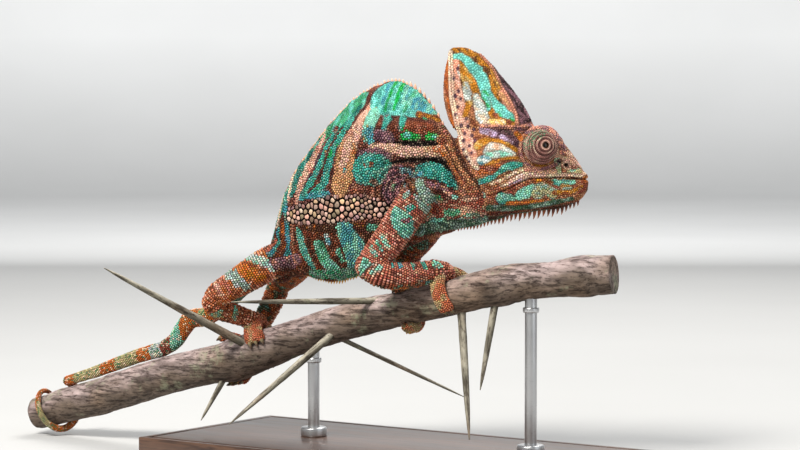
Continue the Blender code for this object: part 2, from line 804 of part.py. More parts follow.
def main():
    clear_scene()
    parts = new_collection("veiled_chameleon")
    cutters = new_collection("cutters")
    perch = make_perch(parts, cutters)
    limbs = make_limbs(parts, cutters)
    feet = [make_foot(name, parts, cutters) for name in FEET]
    make_tail(parts)
    body = make_body(cutters)
    for cone in gular_cones(cutters):
        boolean(body, cone, "UNION")
        remove(cone)
    for name in ("upper_arm_right", "upper_arm_left", "thigh_right", "thigh_left"):
        keep_clear(body, name, cutters)
    tail = tube("tail_cutter", tail_points()[:TAIL_CUTS[0]], TAIL_SIDES, cutters, GAP)
    for piece in (body, limbs["thigh_right"], limbs["thigh_left"]):
        boolean(piece, tail, "DIFFERENCE")
    remove(tail)
    seeds = {
        "casque": bent(38, 0, 188), "head": bent(56, 0, 158), "lower_jaw": bent(64, 0, 136),
        "neck": bent(18, 0, 148), "trunk": bent(-38, 0, 142),
    }
    pieces = cut_apart(body, CUTS, seeds, cutters)
    for name, piece in pieces.items():
        move_to(piece, parts)
        piece.data.materials.append(finish({"neck": "neck", "trunk": "trunk"}.get(name, "head")))
    make_eyes(pieces["head"], parts, cutters)
    cutter = perch_tube(cutters, "perch_cutter", GAP)
    for foot in feet:
        boolean(foot, cutter, "DIFFERENCE")
        largest_piece(foot)
    remove(cutter)
    make_stand(perch, parts, cutters)
    shade(parts)


main()
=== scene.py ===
"""Veiled chameleon museum model: the skin, scales, eyes, bark, stand and studio round the solids.

Sizes are in millimetres and become metres in the meshes. The animal is first thought of as
straight and symmetric, with stations s (from the shoulders towards the snout), t (towards its
left) and z (height). One plan curve bends it, and all markings and relief are placed in (s, z).
"""

from __future__ import annotations

import itertools
import logging
import math
from dataclasses import dataclass, field
from enum import Enum
from functools import cached_property

import bmesh
import bpy
import numpy as np
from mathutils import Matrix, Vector
from mathutils.bvhtree import BVHTree
from mathutils.kdtree import KDTree

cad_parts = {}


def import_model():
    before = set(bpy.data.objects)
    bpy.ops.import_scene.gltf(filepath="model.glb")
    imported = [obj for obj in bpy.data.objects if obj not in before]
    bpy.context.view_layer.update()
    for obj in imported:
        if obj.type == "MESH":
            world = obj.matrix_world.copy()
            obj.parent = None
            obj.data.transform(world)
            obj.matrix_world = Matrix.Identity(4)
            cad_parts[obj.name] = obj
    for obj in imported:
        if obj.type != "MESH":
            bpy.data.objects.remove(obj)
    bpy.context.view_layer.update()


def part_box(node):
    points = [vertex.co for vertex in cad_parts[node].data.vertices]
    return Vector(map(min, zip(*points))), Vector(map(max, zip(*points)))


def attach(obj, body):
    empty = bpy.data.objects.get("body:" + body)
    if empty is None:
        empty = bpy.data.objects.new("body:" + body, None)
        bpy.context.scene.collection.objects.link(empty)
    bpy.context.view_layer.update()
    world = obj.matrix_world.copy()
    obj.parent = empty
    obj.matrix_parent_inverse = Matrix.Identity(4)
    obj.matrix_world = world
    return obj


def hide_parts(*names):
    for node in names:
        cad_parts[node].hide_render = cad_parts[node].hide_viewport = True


MM = 0.001
DOME_TURNS = (25, 48, 68, 84)  # degrees over a domed end, one for each ring
SKEWED = (0.31, -0.83, 0.46)  # a direction that no tube runs along
LOG = logging.getLogger("veiled_chameleon")
Array = np.ndarray
Piece = bpy.types.Object
Socket = bpy.types.NodeSocket
Rows = tuple[tuple[float, ...], ...]
Path = tuple[tuple[float, float], ...]

BODY_NODES = ("casque", "head", "lower_jaw", "neck", "trunk")
TAIL_NODES = ("tail_base", "tail_middle", "tail_tip")
LEG_NODES = ("upper_arm", "forearm", "forefoot", "thigh", "shin", "hindfoot")


# ---------------------------------------------------------------- small numeric helpers


def unit(vectors: Array) -> Array:
    """Scales each row to length 1."""
    return vectors / np.maximum(np.linalg.norm(vectors, axis=-1, keepdims=True), 1e-12)


def step_between(low: float, high: float, values: Array) -> Array:
    """A smooth step from 0 at low to 1 at high."""
    share = np.clip((values - low) / (high - low), 0, 1)
    return share * share * (3 - 2 * share)


def noise(points: Array, cell: float, seed: int = 0) -> Array:
    """Smooth noise from -1 to 1.

    Args:
        points: one row of coordinates per point.
        cell: the size of its lumps, in the points' unit.
        seed: another value gives another pattern.

    Returns:
        One value per point.
    """
    scaled = points / cell + 11.7 * seed
    base = np.floor(scaled).astype(np.int64)
    part = scaled - base
    part = part * part * (3 - 2 * part)
    primes = np.array((73856093, 19349663, 83492791))[: points.shape[1]]
    total = np.zeros(len(points))
    for corner in itertools.product((0, 1), repeat=points.shape[1]):
        key = ((base + corner) * primes).sum(axis=1) + 7919 * seed
        key = (key ^ (key >> 13)) * 1274126177
        value = ((key ^ (key >> 16)) & 0xFFFF) / 32767.5 - 1
        total += value * np.prod(np.where(corner, part, 1 - part), axis=1)
    return total


def spline(knots: Rows | Array, steps: int) -> Array:
    """Points of a Catmull-Rom curve through the knots, with any number of values in each.

    Args:
        knots: rows of values, each one point.
        steps: points made between two knots.

    Returns:
        The curve, one row per point.
    """
    knots = np.array(knots, float)
    padded = np.vstack([2 * knots[0] - knots[1], knots, 2 * knots[-1] - knots[-2]])
    points = []
    for before, start, end, after in zip(padded, padded[1:], padded[2:], padded[3:]):
        for u in np.arange(steps) / steps:
            slope = end - before
            bend = 2 * before - 5 * start + 4 * end - after
            twist = 3 * start - before - 3 * end + after
            points.append((2 * start + slope * u + bend * u**2 + twist * u**3) / 2)
    points.append(knots[-1])
    return np.array(points)


def path_line(path: Path, steps: int) -> Array:
    """A path as a curve, or as the straight line between its two points."""
    return spline(path, steps) if len(path) > 2 else np.array(path, float)


def columns(rows: Rows | Array) -> list[tuple[Array, Array]]:
    """The first column of a table together with each of the others."""
    first, *others = np.array(rows, float).T
    return [(first, other) for other in others]


def distances_along(line: Array) -> Array:
    """How far each of a line's points is from its start, by the first three values of each."""
    return np.concatenate([[0], np.cumsum(np.linalg.norm(np.diff(line[:, :3], axis=0), axis=1))])


def rays(turns: Array, first: Array, second: Array) -> Array:
    """Directions at angles from the first ones towards the second ones, a row of them for each pair."""
    return np.cos(turns)[..., None] * first[..., None, :] + np.sin(turns)[..., None] * second[..., None, :]


def circle(count: int, first: Array, second: Array, shift: float = 0) -> Array:
    """Directions evenly round a circle, started a share of a step past the first direction."""
    return rays(2 * np.pi * (np.arange(count) + shift) / count, first, second)


def off_path(points: Array, path: Array) -> tuple[Array, Array]:
    """How far each point lies from a line, and the share of the line where it comes closest.

    Args:
        points: the points.
        path: the line's points, in the same plane.

    Returns:
        Distances, and shares from 0 to 1.
    """
    if len(path) == 1:
        return np.linalg.norm(points - path[0], axis=1), np.zeros(len(points))
    starts = distances_along(path)
    lengths = np.diff(starts)
    best = np.full(len(points), np.inf)
    share = np.zeros(len(points))
    for index, (start, end) in enumerate(zip(path, path[1:])):
        way = end - start
        along = np.clip((points - start) @ way / (way @ way), 0, 1)
        distance = np.linalg.norm(points - start - along[:, None] * way, axis=1)
        closer = distance < best
        best[closer] = distance[closer]
        share[closer] = (starts[index] + along[closer] * lengths[index]) / starts[-1]
    return best, share


# ---------------------------------------------------------------- mesh helpers


def deselect() -> None:
    """Leaves nothing selected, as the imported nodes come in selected."""
    bpy.ops.object.select_all(action="DESELECT")


def activate(obj: Piece) -> Piece:
    """Makes one object the only selected and active one."""
    deselect()
    obj.select_set(True)
    bpy.context.view_layer.objects.active = obj
    return obj


def mesh_from(name: str, points: Array, faces: Array | list) -> Piece:
    """A mesh object from points in millimetres.

    Args:
        name: the object's name.
        points: one row per vertex.
        faces: rows of vertex numbers, all triangles if it is an array.

    Returns:
        The new object, linked to the scene.
    """
    mesh = bpy.data.meshes.new(name)
    if isinstance(faces, list):
        mesh.from_pydata((points * MM).tolist(), [], faces)
    else:
        mesh.vertices.add(len(points))
        mesh.vertices.foreach_set("co", (points * MM).astype(np.float32).ravel())
        mesh.loops.add(faces.size)
        mesh.loops.foreach_set("vertex_index", faces.astype(np.int32).ravel())
        mesh.polygons.add(len(faces))
        starts = np.arange(0, faces.size, faces.shape[1], dtype=np.int32)
        mesh.polygons.foreach_set("loop_start", starts)
    mesh.update(calc_edges=True)
    mesh.shade_smooth()
    obj = bpy.data.objects.new(name, mesh)
    bpy.context.scene.collection.objects.link(obj)
    return obj


def points_of(obj: Piece) -> Array:
    """The vertices of a mesh object in millimetres."""
    flat = np.empty(len(obj.data.vertices) * 3, np.float32)
    obj.data.vertices.foreach_get("co", flat)
    return flat.reshape(-1, 3).astype(float) / MM


def move_points(obj: Piece, points: Array) -> None:
    """Puts the vertices of a mesh object at points in millimetres."""
    obj.data.vertices.foreach_set("co", (points * MM).astype(np.float32).ravel())
    obj.data.update()


def normals_of(obj: Piece) -> Array:
    """The vertex normals of a mesh object."""
    flat = np.empty(len(obj.data.vertices) * 3, np.float32)
    obj.data.vertex_normals.foreach_get("vector", flat)
    return flat.reshape(-1, 3).astype(float)


def surface_of(obj: Piece) -> BVHTree:
    """A mesh object's surface, for rays and nearest points."""
    return BVHTree.FromPolygons(points_of(obj).tolist(), [tuple(face.vertices) for face in obj.data.polygons])


def tree_of(points: Array) -> KDTree:
    """Points sorted for finding the nearest ones."""
    tree = KDTree(len(points))
    for index, point in enumerate(points.tolist()):
        tree.insert(point, index)
    tree.balance()
    return tree


def apply_modifier(obj: Piece, kind: str, **settings: object) -> None:
    """Adds a modifier with these settings to an object and applies it.

    Args:
        obj: the object.
        kind: the modifier's type.
        settings: its properties.
    """
    activate(obj)
    modifier = obj.modifiers.new(kind.title(), kind)
    for key, value in settings.items():
        setattr(modifier, key, value)
    bpy.ops.object.modifier_apply(modifier=modifier.name)


def joined(name: str, pieces: list[Piece]) -> Piece:
    """Joins several mesh objects into one.

    Args:
        name: the name of the result.
        pieces: the objects, of which the first stays.

    Returns:
        The joined object.
    """
    deselect()
    for piece in pieces:
        piece.select_set(True)
    bpy.context.view_layer.objects.active = pieces[0]
    bpy.ops.object.join()
    pieces[0].name = name
    pieces[0].data.name = name
    return pieces[0]


def paint(obj: Piece, colours: Array, name: str = "markings") -> None:
    """Stores one linear colour per vertex.

    Args:
        obj: the mesh object.
        colours: one row of red, green and blue per vertex.
        name: the attribute's name.
    """
    attribute = obj.data.attributes.get(name) or obj.data.attributes.new(name, "FLOAT_COLOR", "POINT")
    filled = np.column_stack([colours, np.ones(len(colours))])
    attribute.data.foreach_set("color", filled.astype(np.float32).ravel())


def rings_to_faces(count: int, sides: int, closed_ends: bool = True) -> list:
    """Faces of a grid of rings, which run the same way round, with or without end caps.

    Args:
        count: number of rings.
        sides: points in a ring.
        closed_ends: whether the ends get caps.

    Returns:
        The faces as tuples of vertex numbers.
    """
    faces = []
    for ring in range(count - 1):
        for side in range(sides):
            after = (side + 1) % sides
            low, high = ring * sides, (ring + 1) * sides
            faces.append((low + side, low + after, high + after, high + side))
    if closed_ends:
        faces.append(tuple(range(sides))[::-1])
        faces.append(tuple((count - 1) * sides + side for side in range(sides)))
    return faces


def sweep_frames(line: Array, reference: Array) -> tuple[Array, Array, Array]:
    """Directions along a line, and two across it, the first as near to the reference as it can be.

    Args:
        line: points of the line.
        reference: the direction that the first one keeps near to.

    Returns:
        The three directions at each point.
    """
    along = unit(np.gradient(line, axis=0))
    first = unit(reference - (along @ reference)[:, None] * along)
    return along, first, np.cross(along, first)


def tube(name: str, line: Array, sides: int, reference: Array | None = None) -> Piece:
    """A closed round tube through rows of (x, y, z, radius).

    Args:
        name: the object's name.
        line: the rows.
        sides: points in a ring.
        reference: where each ring starts.

    Returns:
        The tube.
    """
    if reference is None:
        reference = np.array(SKEWED)
    _, first, second = sweep_frames(line[:, :3], reference)
    points = (line[:, None, :3] + circle(sides, first, second) * line[:, None, 3:]).reshape(-1, 3)
    return mesh_from(name, points, rings_to_faces(len(line), sides))


def face_outward(piece: Piece) -> None:
    """Turns all of a piece's faces outward."""
    activate(piece)
    bpy.ops.object.mode_set(mode="EDIT")
    bpy.ops.mesh.select_all(action="SELECT")
    bpy.ops.mesh.normals_make_consistent(inside=False)
    bpy.ops.object.mode_set(mode="OBJECT")


def dress(piece: Piece, finish: Finish, slot: str, *nodes: str) -> Piece:
    """Gives a piece its material, its body and the solids that it stands for.

    Args:
        piece: the finished mesh.
        finish: what it is made of.
        slot: not used.
        nodes: the solids that it replaces.

    Returns:
        The same piece.
    """
    piece.data.materials.clear()
    piece.data.materials.append(finish.material())
    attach(piece, "root")
    if nodes:
        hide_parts(*nodes)
    return piece


def domed(line: Array, start: bool = True, end: bool = True) -> Array:
    """Adds rings to a tube's line, so that it ends in domes.

    Args:
        line: rows of (x, y, z, radius).
        start: whether the first end gets a dome.
        end: whether the last end gets one.

    Returns:
        The longer line.
    """
    turns = np.radians(DOME_TURNS)

    def dome(last: Array, inner: Array) -> Array:
        """The rings past one end."""
        outward = unit((last - inner)[:3])
        places = last[:3] + np.outer(np.sin(turns), outward) * last[3]
        return np.column_stack([places, np.cos(turns) * last[3]])

    parts = [line]
    if start:
        parts.insert(0, dome(line[0], line[1])[::-1])
    if end:
        parts.append(dome(line[-1], line[-2]))
    return np.vstack(parts)


# ---------------------------------------------------------------- the animal's plan


@dataclass(frozen=True)
class PlanCurve:
    """Bends the straight animal: rows of (station, heading in degrees from +X towards +Y)."""

    turns: Rows = ((-120, -12), (-80, -10), (-40, -2), (0, 8), (25, 18), (38, 27), (100, 27))
    reach: tuple[float, float] = (-130, 110)
    step: float = 0.25

    @cached_property
    def line(self) -> Array:
        """Rows of (station, x, y, heading), with station 0 at x = y = 0."""
        stations = np.arange(self.reach[0], self.reach[1] + self.step, self.step)
        headings = np.radians(np.interp(stations, *zip(*self.turns)))
        between = (headings[1:] + headings[:-1]) / 2
        x = np.concatenate([[0], np.cumsum(np.cos(between))]) * self.step
        y = np.concatenate([[0], np.cumsum(np.sin(between))]) * self.step
        start = int(np.argmin(abs(stations)))
        return np.column_stack([stations, x - x[start], y - y[start], headings])

    def place(self, stations: Array, offsets: Array, heights: Array) -> Array:
        """World points of straight stations, offsets to the left and heights.

        Args:
            stations: places along the animal.
            offsets: distances to its left.
            heights: heights.

        Returns:
            One world point per row.
        """
        s, t, z = np.broadcast_arrays(*(np.atleast_1d(v).astype(float) for v in (stations, offsets, heights)))
        x, y, heading = (np.interp(s, self.line[:, 0], self.line[:, k]) for k in (1, 2, 3))
        return np.column_stack([x - t * np.sin(heading), y + t * np.cos(heading), z])

    def locate(self, points: Array) -> tuple[Array, Array]:
        """Stations and offsets of world points.

        Args:
            points: world points.

        Returns:
            Stations and offsets.
        """
        nearest = np.empty(len(points), int)
        for start in range(0, len(points), 8192):
            some = points[start : start + 8192]
            gaps = (some[:, 0, None] - self.line[:, 1]) ** 2 + (some[:, 1, None] - self.line[:, 2]) ** 2
            nearest[start : start + 8192] = gaps.argmin(axis=1)
        station, x, y, heading = self.line[nearest].T
        ahead = (points[:, 0] - x) * np.cos(heading) + (points[:, 1] - y) * np.sin(heading)
        offset = (points[:, 1] - y) * np.cos(heading) - (points[:, 0] - x) * np.sin(heading)
        return station + ahead, offset

    def across(self, station: float) -> Array:
        """Unit direction to the animal's left at a station."""
        heading = np.interp(station, self.line[:, 0], self.line[:, 3])
        return np.array((-math.sin(heading), math.cos(heading), 0))


@dataclass(frozen=True)
class BodyForm:
    """Trunk, head and casque as sections of the straight animal."""

    # (station, top, bottom, half width)
    trunk: Rows = (
        (-97, 104, 91, 5.2), (-90, 113, 90, 7.6), (-84, 126, 91, 9.4), (-78, 142, 94, 10.8),
        (-70, 154, 95, 12.2), (-60, 164.5, 93.5, 13.6), (-48, 176, 92.8, 14.8),
        (-36, 185.5, 95.5, 15.6), (-24, 191.8, 100.5, 16), (-12, 195.2, 108, 15.8),
        (-4, 193.4, 112, 15.2), (4, 188.5, 115, 14.2), (11, 180.5, 117, 13), (17, 171, 119, 12),
        (24, 163, 121.5, 11), (32, 156, 123.5, 10),
    )
    trunk_edges: tuple[float, float] = (1.25, 1.05)
    head: Rows = (
        (20, 166, 121.5, 8), (26, 169, 122.5, 11.5), (34, 171.5, 124, 13.2), (44, 172.5, 127, 13.2),
        (54, 172.8, 129.5, 12), (62, 172.5, 131, 10.4), (69, 170.5, 131.8, 8.6),
        (75, 165.5, 132.6, 7.2), (80, 158.5, 134.2, 5.8), (84.5, 152, 137, 4.5),
        (87.6, 147.8, 141, 2.4),
    )
    head_edges: tuple[float, float] = (0.95, 0.85)
    # (height, front edge, rear edge, half width, how far the side ridge is set back)
    casque: Rows = (
        (163, 62, 24, 11.5, 12), (170, 61.5, 20.5, 10.5, 11), (176, 59.8, 17.8, 9.2, 9.5),
        (183, 56, 15.8, 7.8, 8.5), (190, 51.2, 15.0, 6.4, 7.5), (197, 45.5, 15.2, 5, 6.5),
        (203, 39.8, 15.8, 3.8, 5.5), (208, 34.4, 17.2, 2.7, 4.5), (211.6, 28, 19.6, 1.6, 3),
    )
    head_start: float = 22
    rim_thickness: float = 1.3
    brow_radius: float = 9.6
    brow_place: tuple[float, float, float] = (-0.5, 5.2, 0.2)
    facets: int = 72
    steps: int = 6

    def section(self, row: Array, edges: tuple[float, float]) -> tuple[Array, Array]:
        """Offsets and heights round one upright section, from the left side over the crown.

        Args:
            row: station, top, bottom and half width.
            edges: how square the upper and the lower half are.

        Returns:
            Offsets and heights.
        """
        _, top, bottom, half_width = row
        turns = 2 * np.pi * np.arange(self.facets) / self.facets
        sharpness = np.where(np.sin(turns) > 0, *edges)
        width = half_width * np.copysign(abs(np.cos(turns)) ** sharpness, np.cos(turns))
        return width, (top + bottom) / 2 + (top - bottom) / 2 * np.sin(turns)

    def casque_ring(self, row: Array) -> tuple[Array, Array]:
        """Stations and offsets round one level section of the casque.

        Args:
            row: a row of the casque's table.

        Returns:
            Stations and offsets.
        """
        _, front, rear, half_width, setback = row
        ridge = front - setback
        side = [
            (front, 0), (front - setback * 0.45, half_width * 0.62), (ridge, half_width),
            (ridge - (ridge - rear) * 0.4, half_width * 0.82),
            (rear + (ridge - rear) * 0.22, max(half_width * 0.5, self.rim_thickness)),
            (rear + 1.2, self.rim_thickness), (rear, 0),
        ]
        outline = spline(side, 5)
        ring = np.vstack([outline, outline[-2:0:-1] * (1, -1)])
        return ring[:, 0], ring[:, 1]

    def lofts(self, plan: PlanCurve) -> list[Piece]:
        """The trunk, head and casque as closed, overlapping bodies.

        Args:
            plan: the plan curve.

        Returns:
            The three bodies.
        """
        made = []
        forms = (("trunk", self.trunk, self.trunk_edges), ("head", self.head, self.head_edges))
        for name, rows, edges in forms:
            smooth_rows = spline(rows, self.steps)
            rings = [plan.place(row[0], *self.section(row, edges)) for row in smooth_rows]
            faces = rings_to_faces(len(rings), self.facets)
            made.append(mesh_from(f"{name}_loft", np.vstack(rings), faces))
        rings = []
        for row in spline(self.casque, self.steps):
            stations, offsets = self.casque_ring(row)
            rings.append(plan.place(stations, offsets, row[0]))
        made.append(mesh_from("casque_loft", np.vstack(rings), rings_to_faces(len(rings), len(rings[0]))))
        return made

    def row_at(self, stations: Array) -> tuple[Array, ...]:
        """Top, bottom and half width of trunk or head at each station."""
        forms = (self.trunk, self.head)
        trunk, head = ([np.interp(stations, *pair) for pair in columns(rows)] for rows in forms)
        return tuple(np.where(stations > self.head_start, *pair) for pair in zip(head, trunk))


@dataclass(frozen=True)
class Branch:
    """The perch's line, and places round it."""

    # (x, y, z, radius), rising towards the animal's head
    line: Rows = (
        (-250, -6, 11.2, 8.6), (-228, -5, 17.4, 9.4), (-206, -4, 23.2, 9.8), (-176, -2.6, 32.6, 10.2),
        (-152, -1.5, 39.8, 10), (-132, -0.5, 44.4, 10), (-114, 0.1, 48.8, 11.2), (-97, 0.3, 54.6, 10.6),
        (-73, 0.6, 62.8, 9.2), (-41, 1, 72.8, 9.2), (-10, 1.4, 80.4, 8.8), (20, 1.9, 87.2, 8.8),
        (37, 3, 92, 9.4), (48, 4.6, 94.2, 9.8), (61, 6.6, 96.8, 9.2), (77, 9.7, 98.6, 8.8),
        (91, 13.3, 100.4, 10), (105, 17, 101.4, 9.4),
    )
    # (x on the perch, rise of the root above its centre, tip x, tip y, tip z, radius)
    thorns: Rows = (
        (-20, 6, -55, -78, 87, 1.7), (-45, -1, -71, -60, 24, 2), (-101, 1, -131, -85, 101, 2.2),
        (26, -3, 42, -14, 20, 2.1), (46, -3, 47, -12, 44.5, 1.9), (-54, -3, 8, 34, 33.5, 1.2),
        (-118, -3, -127, -14, 17, 1.6),
    )
    # (share of the length, share of the radius)
    thorn_profile: Rows = (
        (-0.06, 1.5), (0, 1.3), (0.08, 1.06), (0.3, 0.95), (0.5, 0.85), (0.85, 0.5), (1, 0.12),
    )

    def at(self, x: float) -> tuple[Array, float, Array, Array]:
        """Centre, radius, direction along and level direction towards -Y at a world x."""
        *across, radii = columns(self.line)
        centre, ahead = (
            np.array([place, *(np.interp(place, *pair) for pair in across)]) for place in (x, x + 1)
        )
        along = unit(ahead - centre)
        return centre, float(np.interp(x, *radii)), along, unit(np.cross(along, (0, 0, 1)))

    def around(self, x: float, degrees: float, distance: float) -> Array:
        """World point at an angle from the perch's top towards -Y, a distance off its surface.

        Args:
            x: place along the perch.
            degrees: the angle.
            distance: distance off its surface.

        Returns:
            The point.
        """
        centre, radius, along, side = self.at(x)
        way = rays(np.radians([degrees]), np.cross(side, along), side)[0]
        return centre + (radius + distance) * way


@dataclass(frozen=True)
class Claw:
    """A claw's root, direction and the way it curls."""

    root: Array
    way: Array
    inward: Array


@dataclass(frozen=True)
class Legs:
    """Limb segments as rows of (x, y, z, radius), and the feet that grip the perch."""

    segments: dict[str, Rows] = field(default_factory=lambda: {
        "upper_arm_right": (
            (15, -5.5, 147, 7), (9, -12, 136, 8.8), (0, -20.5, 118, 8.2), (-7, -26, 105.7, 7.6),
        ),
        "forearm_right": (
            (-8, -27.5, 103.5, 7.2), (-1, -24, 99.5, 7), (8, -13, 99, 6.3), (15, -5, 101, 5.4),
        ),
        "upper_arm_left": (
            (12, 11, 146, 7), (5, 16.5, 135, 8.6), (-12, 26, 118, 7.8), (-25, 31, 108, 7.2),
        ),
        "forearm_left": (
            (-27, 31.5, 105, 6.8), (-24, 28, 98, 6.6), (-17, 22, 90, 6), (-11, 17, 84, 5.2),
        ),
        "thigh_right": (
            (-80, -5, 104, 8.6), (-87, -11, 99.5, 8.8), (-98, -18, 91.5, 7.6), (-109, -22.5, 84.5, 6.2),
        ),
        "shin_right": (
            (-111.5, -22.5, 80.5, 5.8), (-111, -18, 77, 5.8), (-107.5, -11, 74, 5.2), (-103, -4, 71, 4.8),
        ),
        "thigh_left": (
            (-81, 10.5, 103, 8.6), (-89, 17.5, 98, 8.6), (-99, 24, 92.5, 7.6), (-107.5, 28.5, 88, 6.4),
        ),
        "shin_left": (
            (-109, 29, 84.5, 6), (-111.5, 27, 77, 5.8), (-114, 23, 68.5, 5.2), (-115.5, 19, 60, 4.8),
        ),
    })
    # x on the perch, palm angle, angles of the bundles' tips, digits in each, lean of each bundle
    feet: dict[str, tuple] = field(default_factory=lambda: {
        "forefoot_right": (19, 4, (118, -112), (2, 3), (3, 9)),
        "forefoot_left": (-9, -78, (18, -206), (3, 2), (4, 5)),
        "hindfoot_right": (-97, -2, (64, -118), (3, 2), (5, -4)),
        "hindfoot_left": (-116.5, -80, (-4, -152), (2, 3), (-3, -4)),
    })
    digit_radius: float = 2.7
    digit_spacing: float = 3.6
    digit_arch: float = 2.4
    palm_radius: float = 6
    palm_lift: float = 3.8

    def chain(self, upper: str, lower: str, foot: str, branch: Branch) -> Array:
        """One leg's line from its root to the palm.

        Args:
            upper: the upper segment's name.
            lower: the lower segment's name.
            foot: the foot's name.
            branch: the perch.

        Returns:
            Rows of (x, y, z, radius).
        """
        x, palm, *_ = self.feet[foot]
        end = np.append(branch.around(x, palm, self.palm_lift), self.palm_radius)
        return np.vstack([spline(self.segments[upper], 6), spline(self.segments[lower], 6), end])

    def digits(self, foot: str, branch: Branch) -> list[tuple[Array, Claw]]:
        """Each digit of a foot as a tapering line round the perch, with its claw.

        Args:
            foot: the foot's name.
            branch: the perch.

        Returns:
            For each digit its line and its claw.
        """
        x, palm, tips, counts, leans = self.feet[foot]
        made = []
        for tip, count, lean in zip(tips, counts, leans):
            for rank in range(count):
                place = rank - (count - 1) / 2
                rows = []
                for share in np.linspace(0, 1, 7):
                    along = x + place * self.digit_spacing * (0.55 + 0.45 * share) + lean * share
                    radius = self.digit_radius * (1.08 - 0.25 * share)
                    lift = radius * 0.9 + self.digit_arch * (1 - share) ** 2
                    rows.append((*branch.around(along, palm + (tip - palm) * share, lift), radius))
                line = spline(rows, 4)
                way = unit(line[-1, :3] - line[-2, :3])
                inward = unit(branch.at(x)[0] - line[-1, :3])
                made.append((line, Claw(line[-1, :3], way, inward)))
        return made

    def lofts(self, branch: Branch) -> list[Piece]:
        """Limbs, palms and digits as closed, overlapping bodies.

        Args:
            branch: the perch.

        Returns:
            The bodies.
        """
        made = [tube(f"{name}_tube", domed(spline(rows, 6)), 28) for name, rows in self.segments.items()]
        for foot, (x, palm, *_) in self.feet.items():
            lower = foot.replace("forefoot", "forearm").replace("hindfoot", "shin")
            wrist = np.array(self.segments[lower][-1], float)
            middle = np.append(branch.around(x, palm, self.palm_lift), self.palm_radius)
            line = spline([wrist, (wrist + middle) / 2, middle], 6)
            made.append(tube(f"{foot}_palm", domed(line), 24))
            for line, _ in self.digits(foot, branch):
                made.append(tube(f"{foot}_digit", domed(line), 16))
        return made


@dataclass(frozen=True)
class Tail:
    """The tail's free stretch as (x, y, z, radius), then its way along the perch and round it."""

    free: Rows = (
        (-92, 3.4, 102, 6.8), (-104, 4, 95, 6.4), (-116, 4.2, 86.5, 5.9), (-127, 4, 76.5, 5.4),
        (-137.5, 3, 70, 5), (-145.5, 1, 68.4, 4.8), (-151, 0, 62.5, 4.6), (-156, -0.6, 56, 4.3),
        (-163.5, -1.4, 51.6, 4.1),
    )
    rest: tuple[float, float] = (-176, -226)
    coil_end: float = -246.5
    coil_turns: float = 1.3
    radii: tuple[float, float, float] = (3.8, 2.7, 1.2)
    lift: float = 0.8

    def line(self, branch: Branch) -> Array:
        """Rows of (x, y, z, radius) from the hips to the tip.

        Args:
            branch: the perch.

        Returns:
            One row per point.
        """
        lying, turning, tip = self.radii
        resting, turn = self.rest
        rows = list(spline(self.free, 4))
        for x in np.linspace(resting, turn, 24):
            radius = np.interp(x, (turn, resting), (turning, lying))
            rows.append((*branch.around(x, 0, radius + self.lift), radius))
        for share in np.arange(1, 55) / 54:
            radius = turning + (tip - turning) * share
            degrees = -360 * self.coil_turns * share**1.3
            x = turn + (self.coil_end - turn) * share
            rows.append((*branch.around(x, degrees, radius + self.lift), radius))
        return np.array(rows, float)


# ---------------------------------------------------------------- where a point is on the animal


class Part(Enum):
    """What a point of the skin belongs to."""

    BODY = 0
    LEG = 1
    FOOT = 2
    TAIL = 3


TAIL_SIDE = np.array((0.1, -0.9, 0.3))  # where angles round the tail start
# the head's rear border as (height, station)
HEAD_BORDER = ((110, 41), (140, 37), (152, 33), (172, 20), (215, 12))


@dataclass
class Spots:
    """Points of the skin with their places on the animal.

    Attributes:
        points: world points.
        station, offset: place on the straight animal, beside the height.
        part: a Part's value per point.
        leg: number of the leg, or -1.
        along: distance from a leg's or the tail's root.
        turn: angle round a leg or the tail, from its outer side.
    """

    points: Array
    station: Array
    offset: Array
    part: Array
    leg: Array
    along: Array
    turn: Array

    @property
    def height(self) -> Array:
        """World heights."""
        return self.points[:, 2]

    @property
    def flat(self) -> Array:
        """Rows of (station, height)."""
        return np.column_stack([self.station, self.points[:, 2]])

    def of(self, part: Part) -> Array:
        """Which points belong to a part."""
        return self.part == part.value

    def apart(self, station: float, height: float) -> Array:
        """How far the points are from a place, as seen from the side."""
        return np.linalg.norm(self.flat - (station, height), axis=1)

    @property
    def on_head(self) -> Array:
        """Which points lie ahead of the casque's rear rim and the jaw's angle."""
        border = np.interp(self.height, *zip(*HEAD_BORDER))
        return (self.station > border) & self.of(Part.BODY)


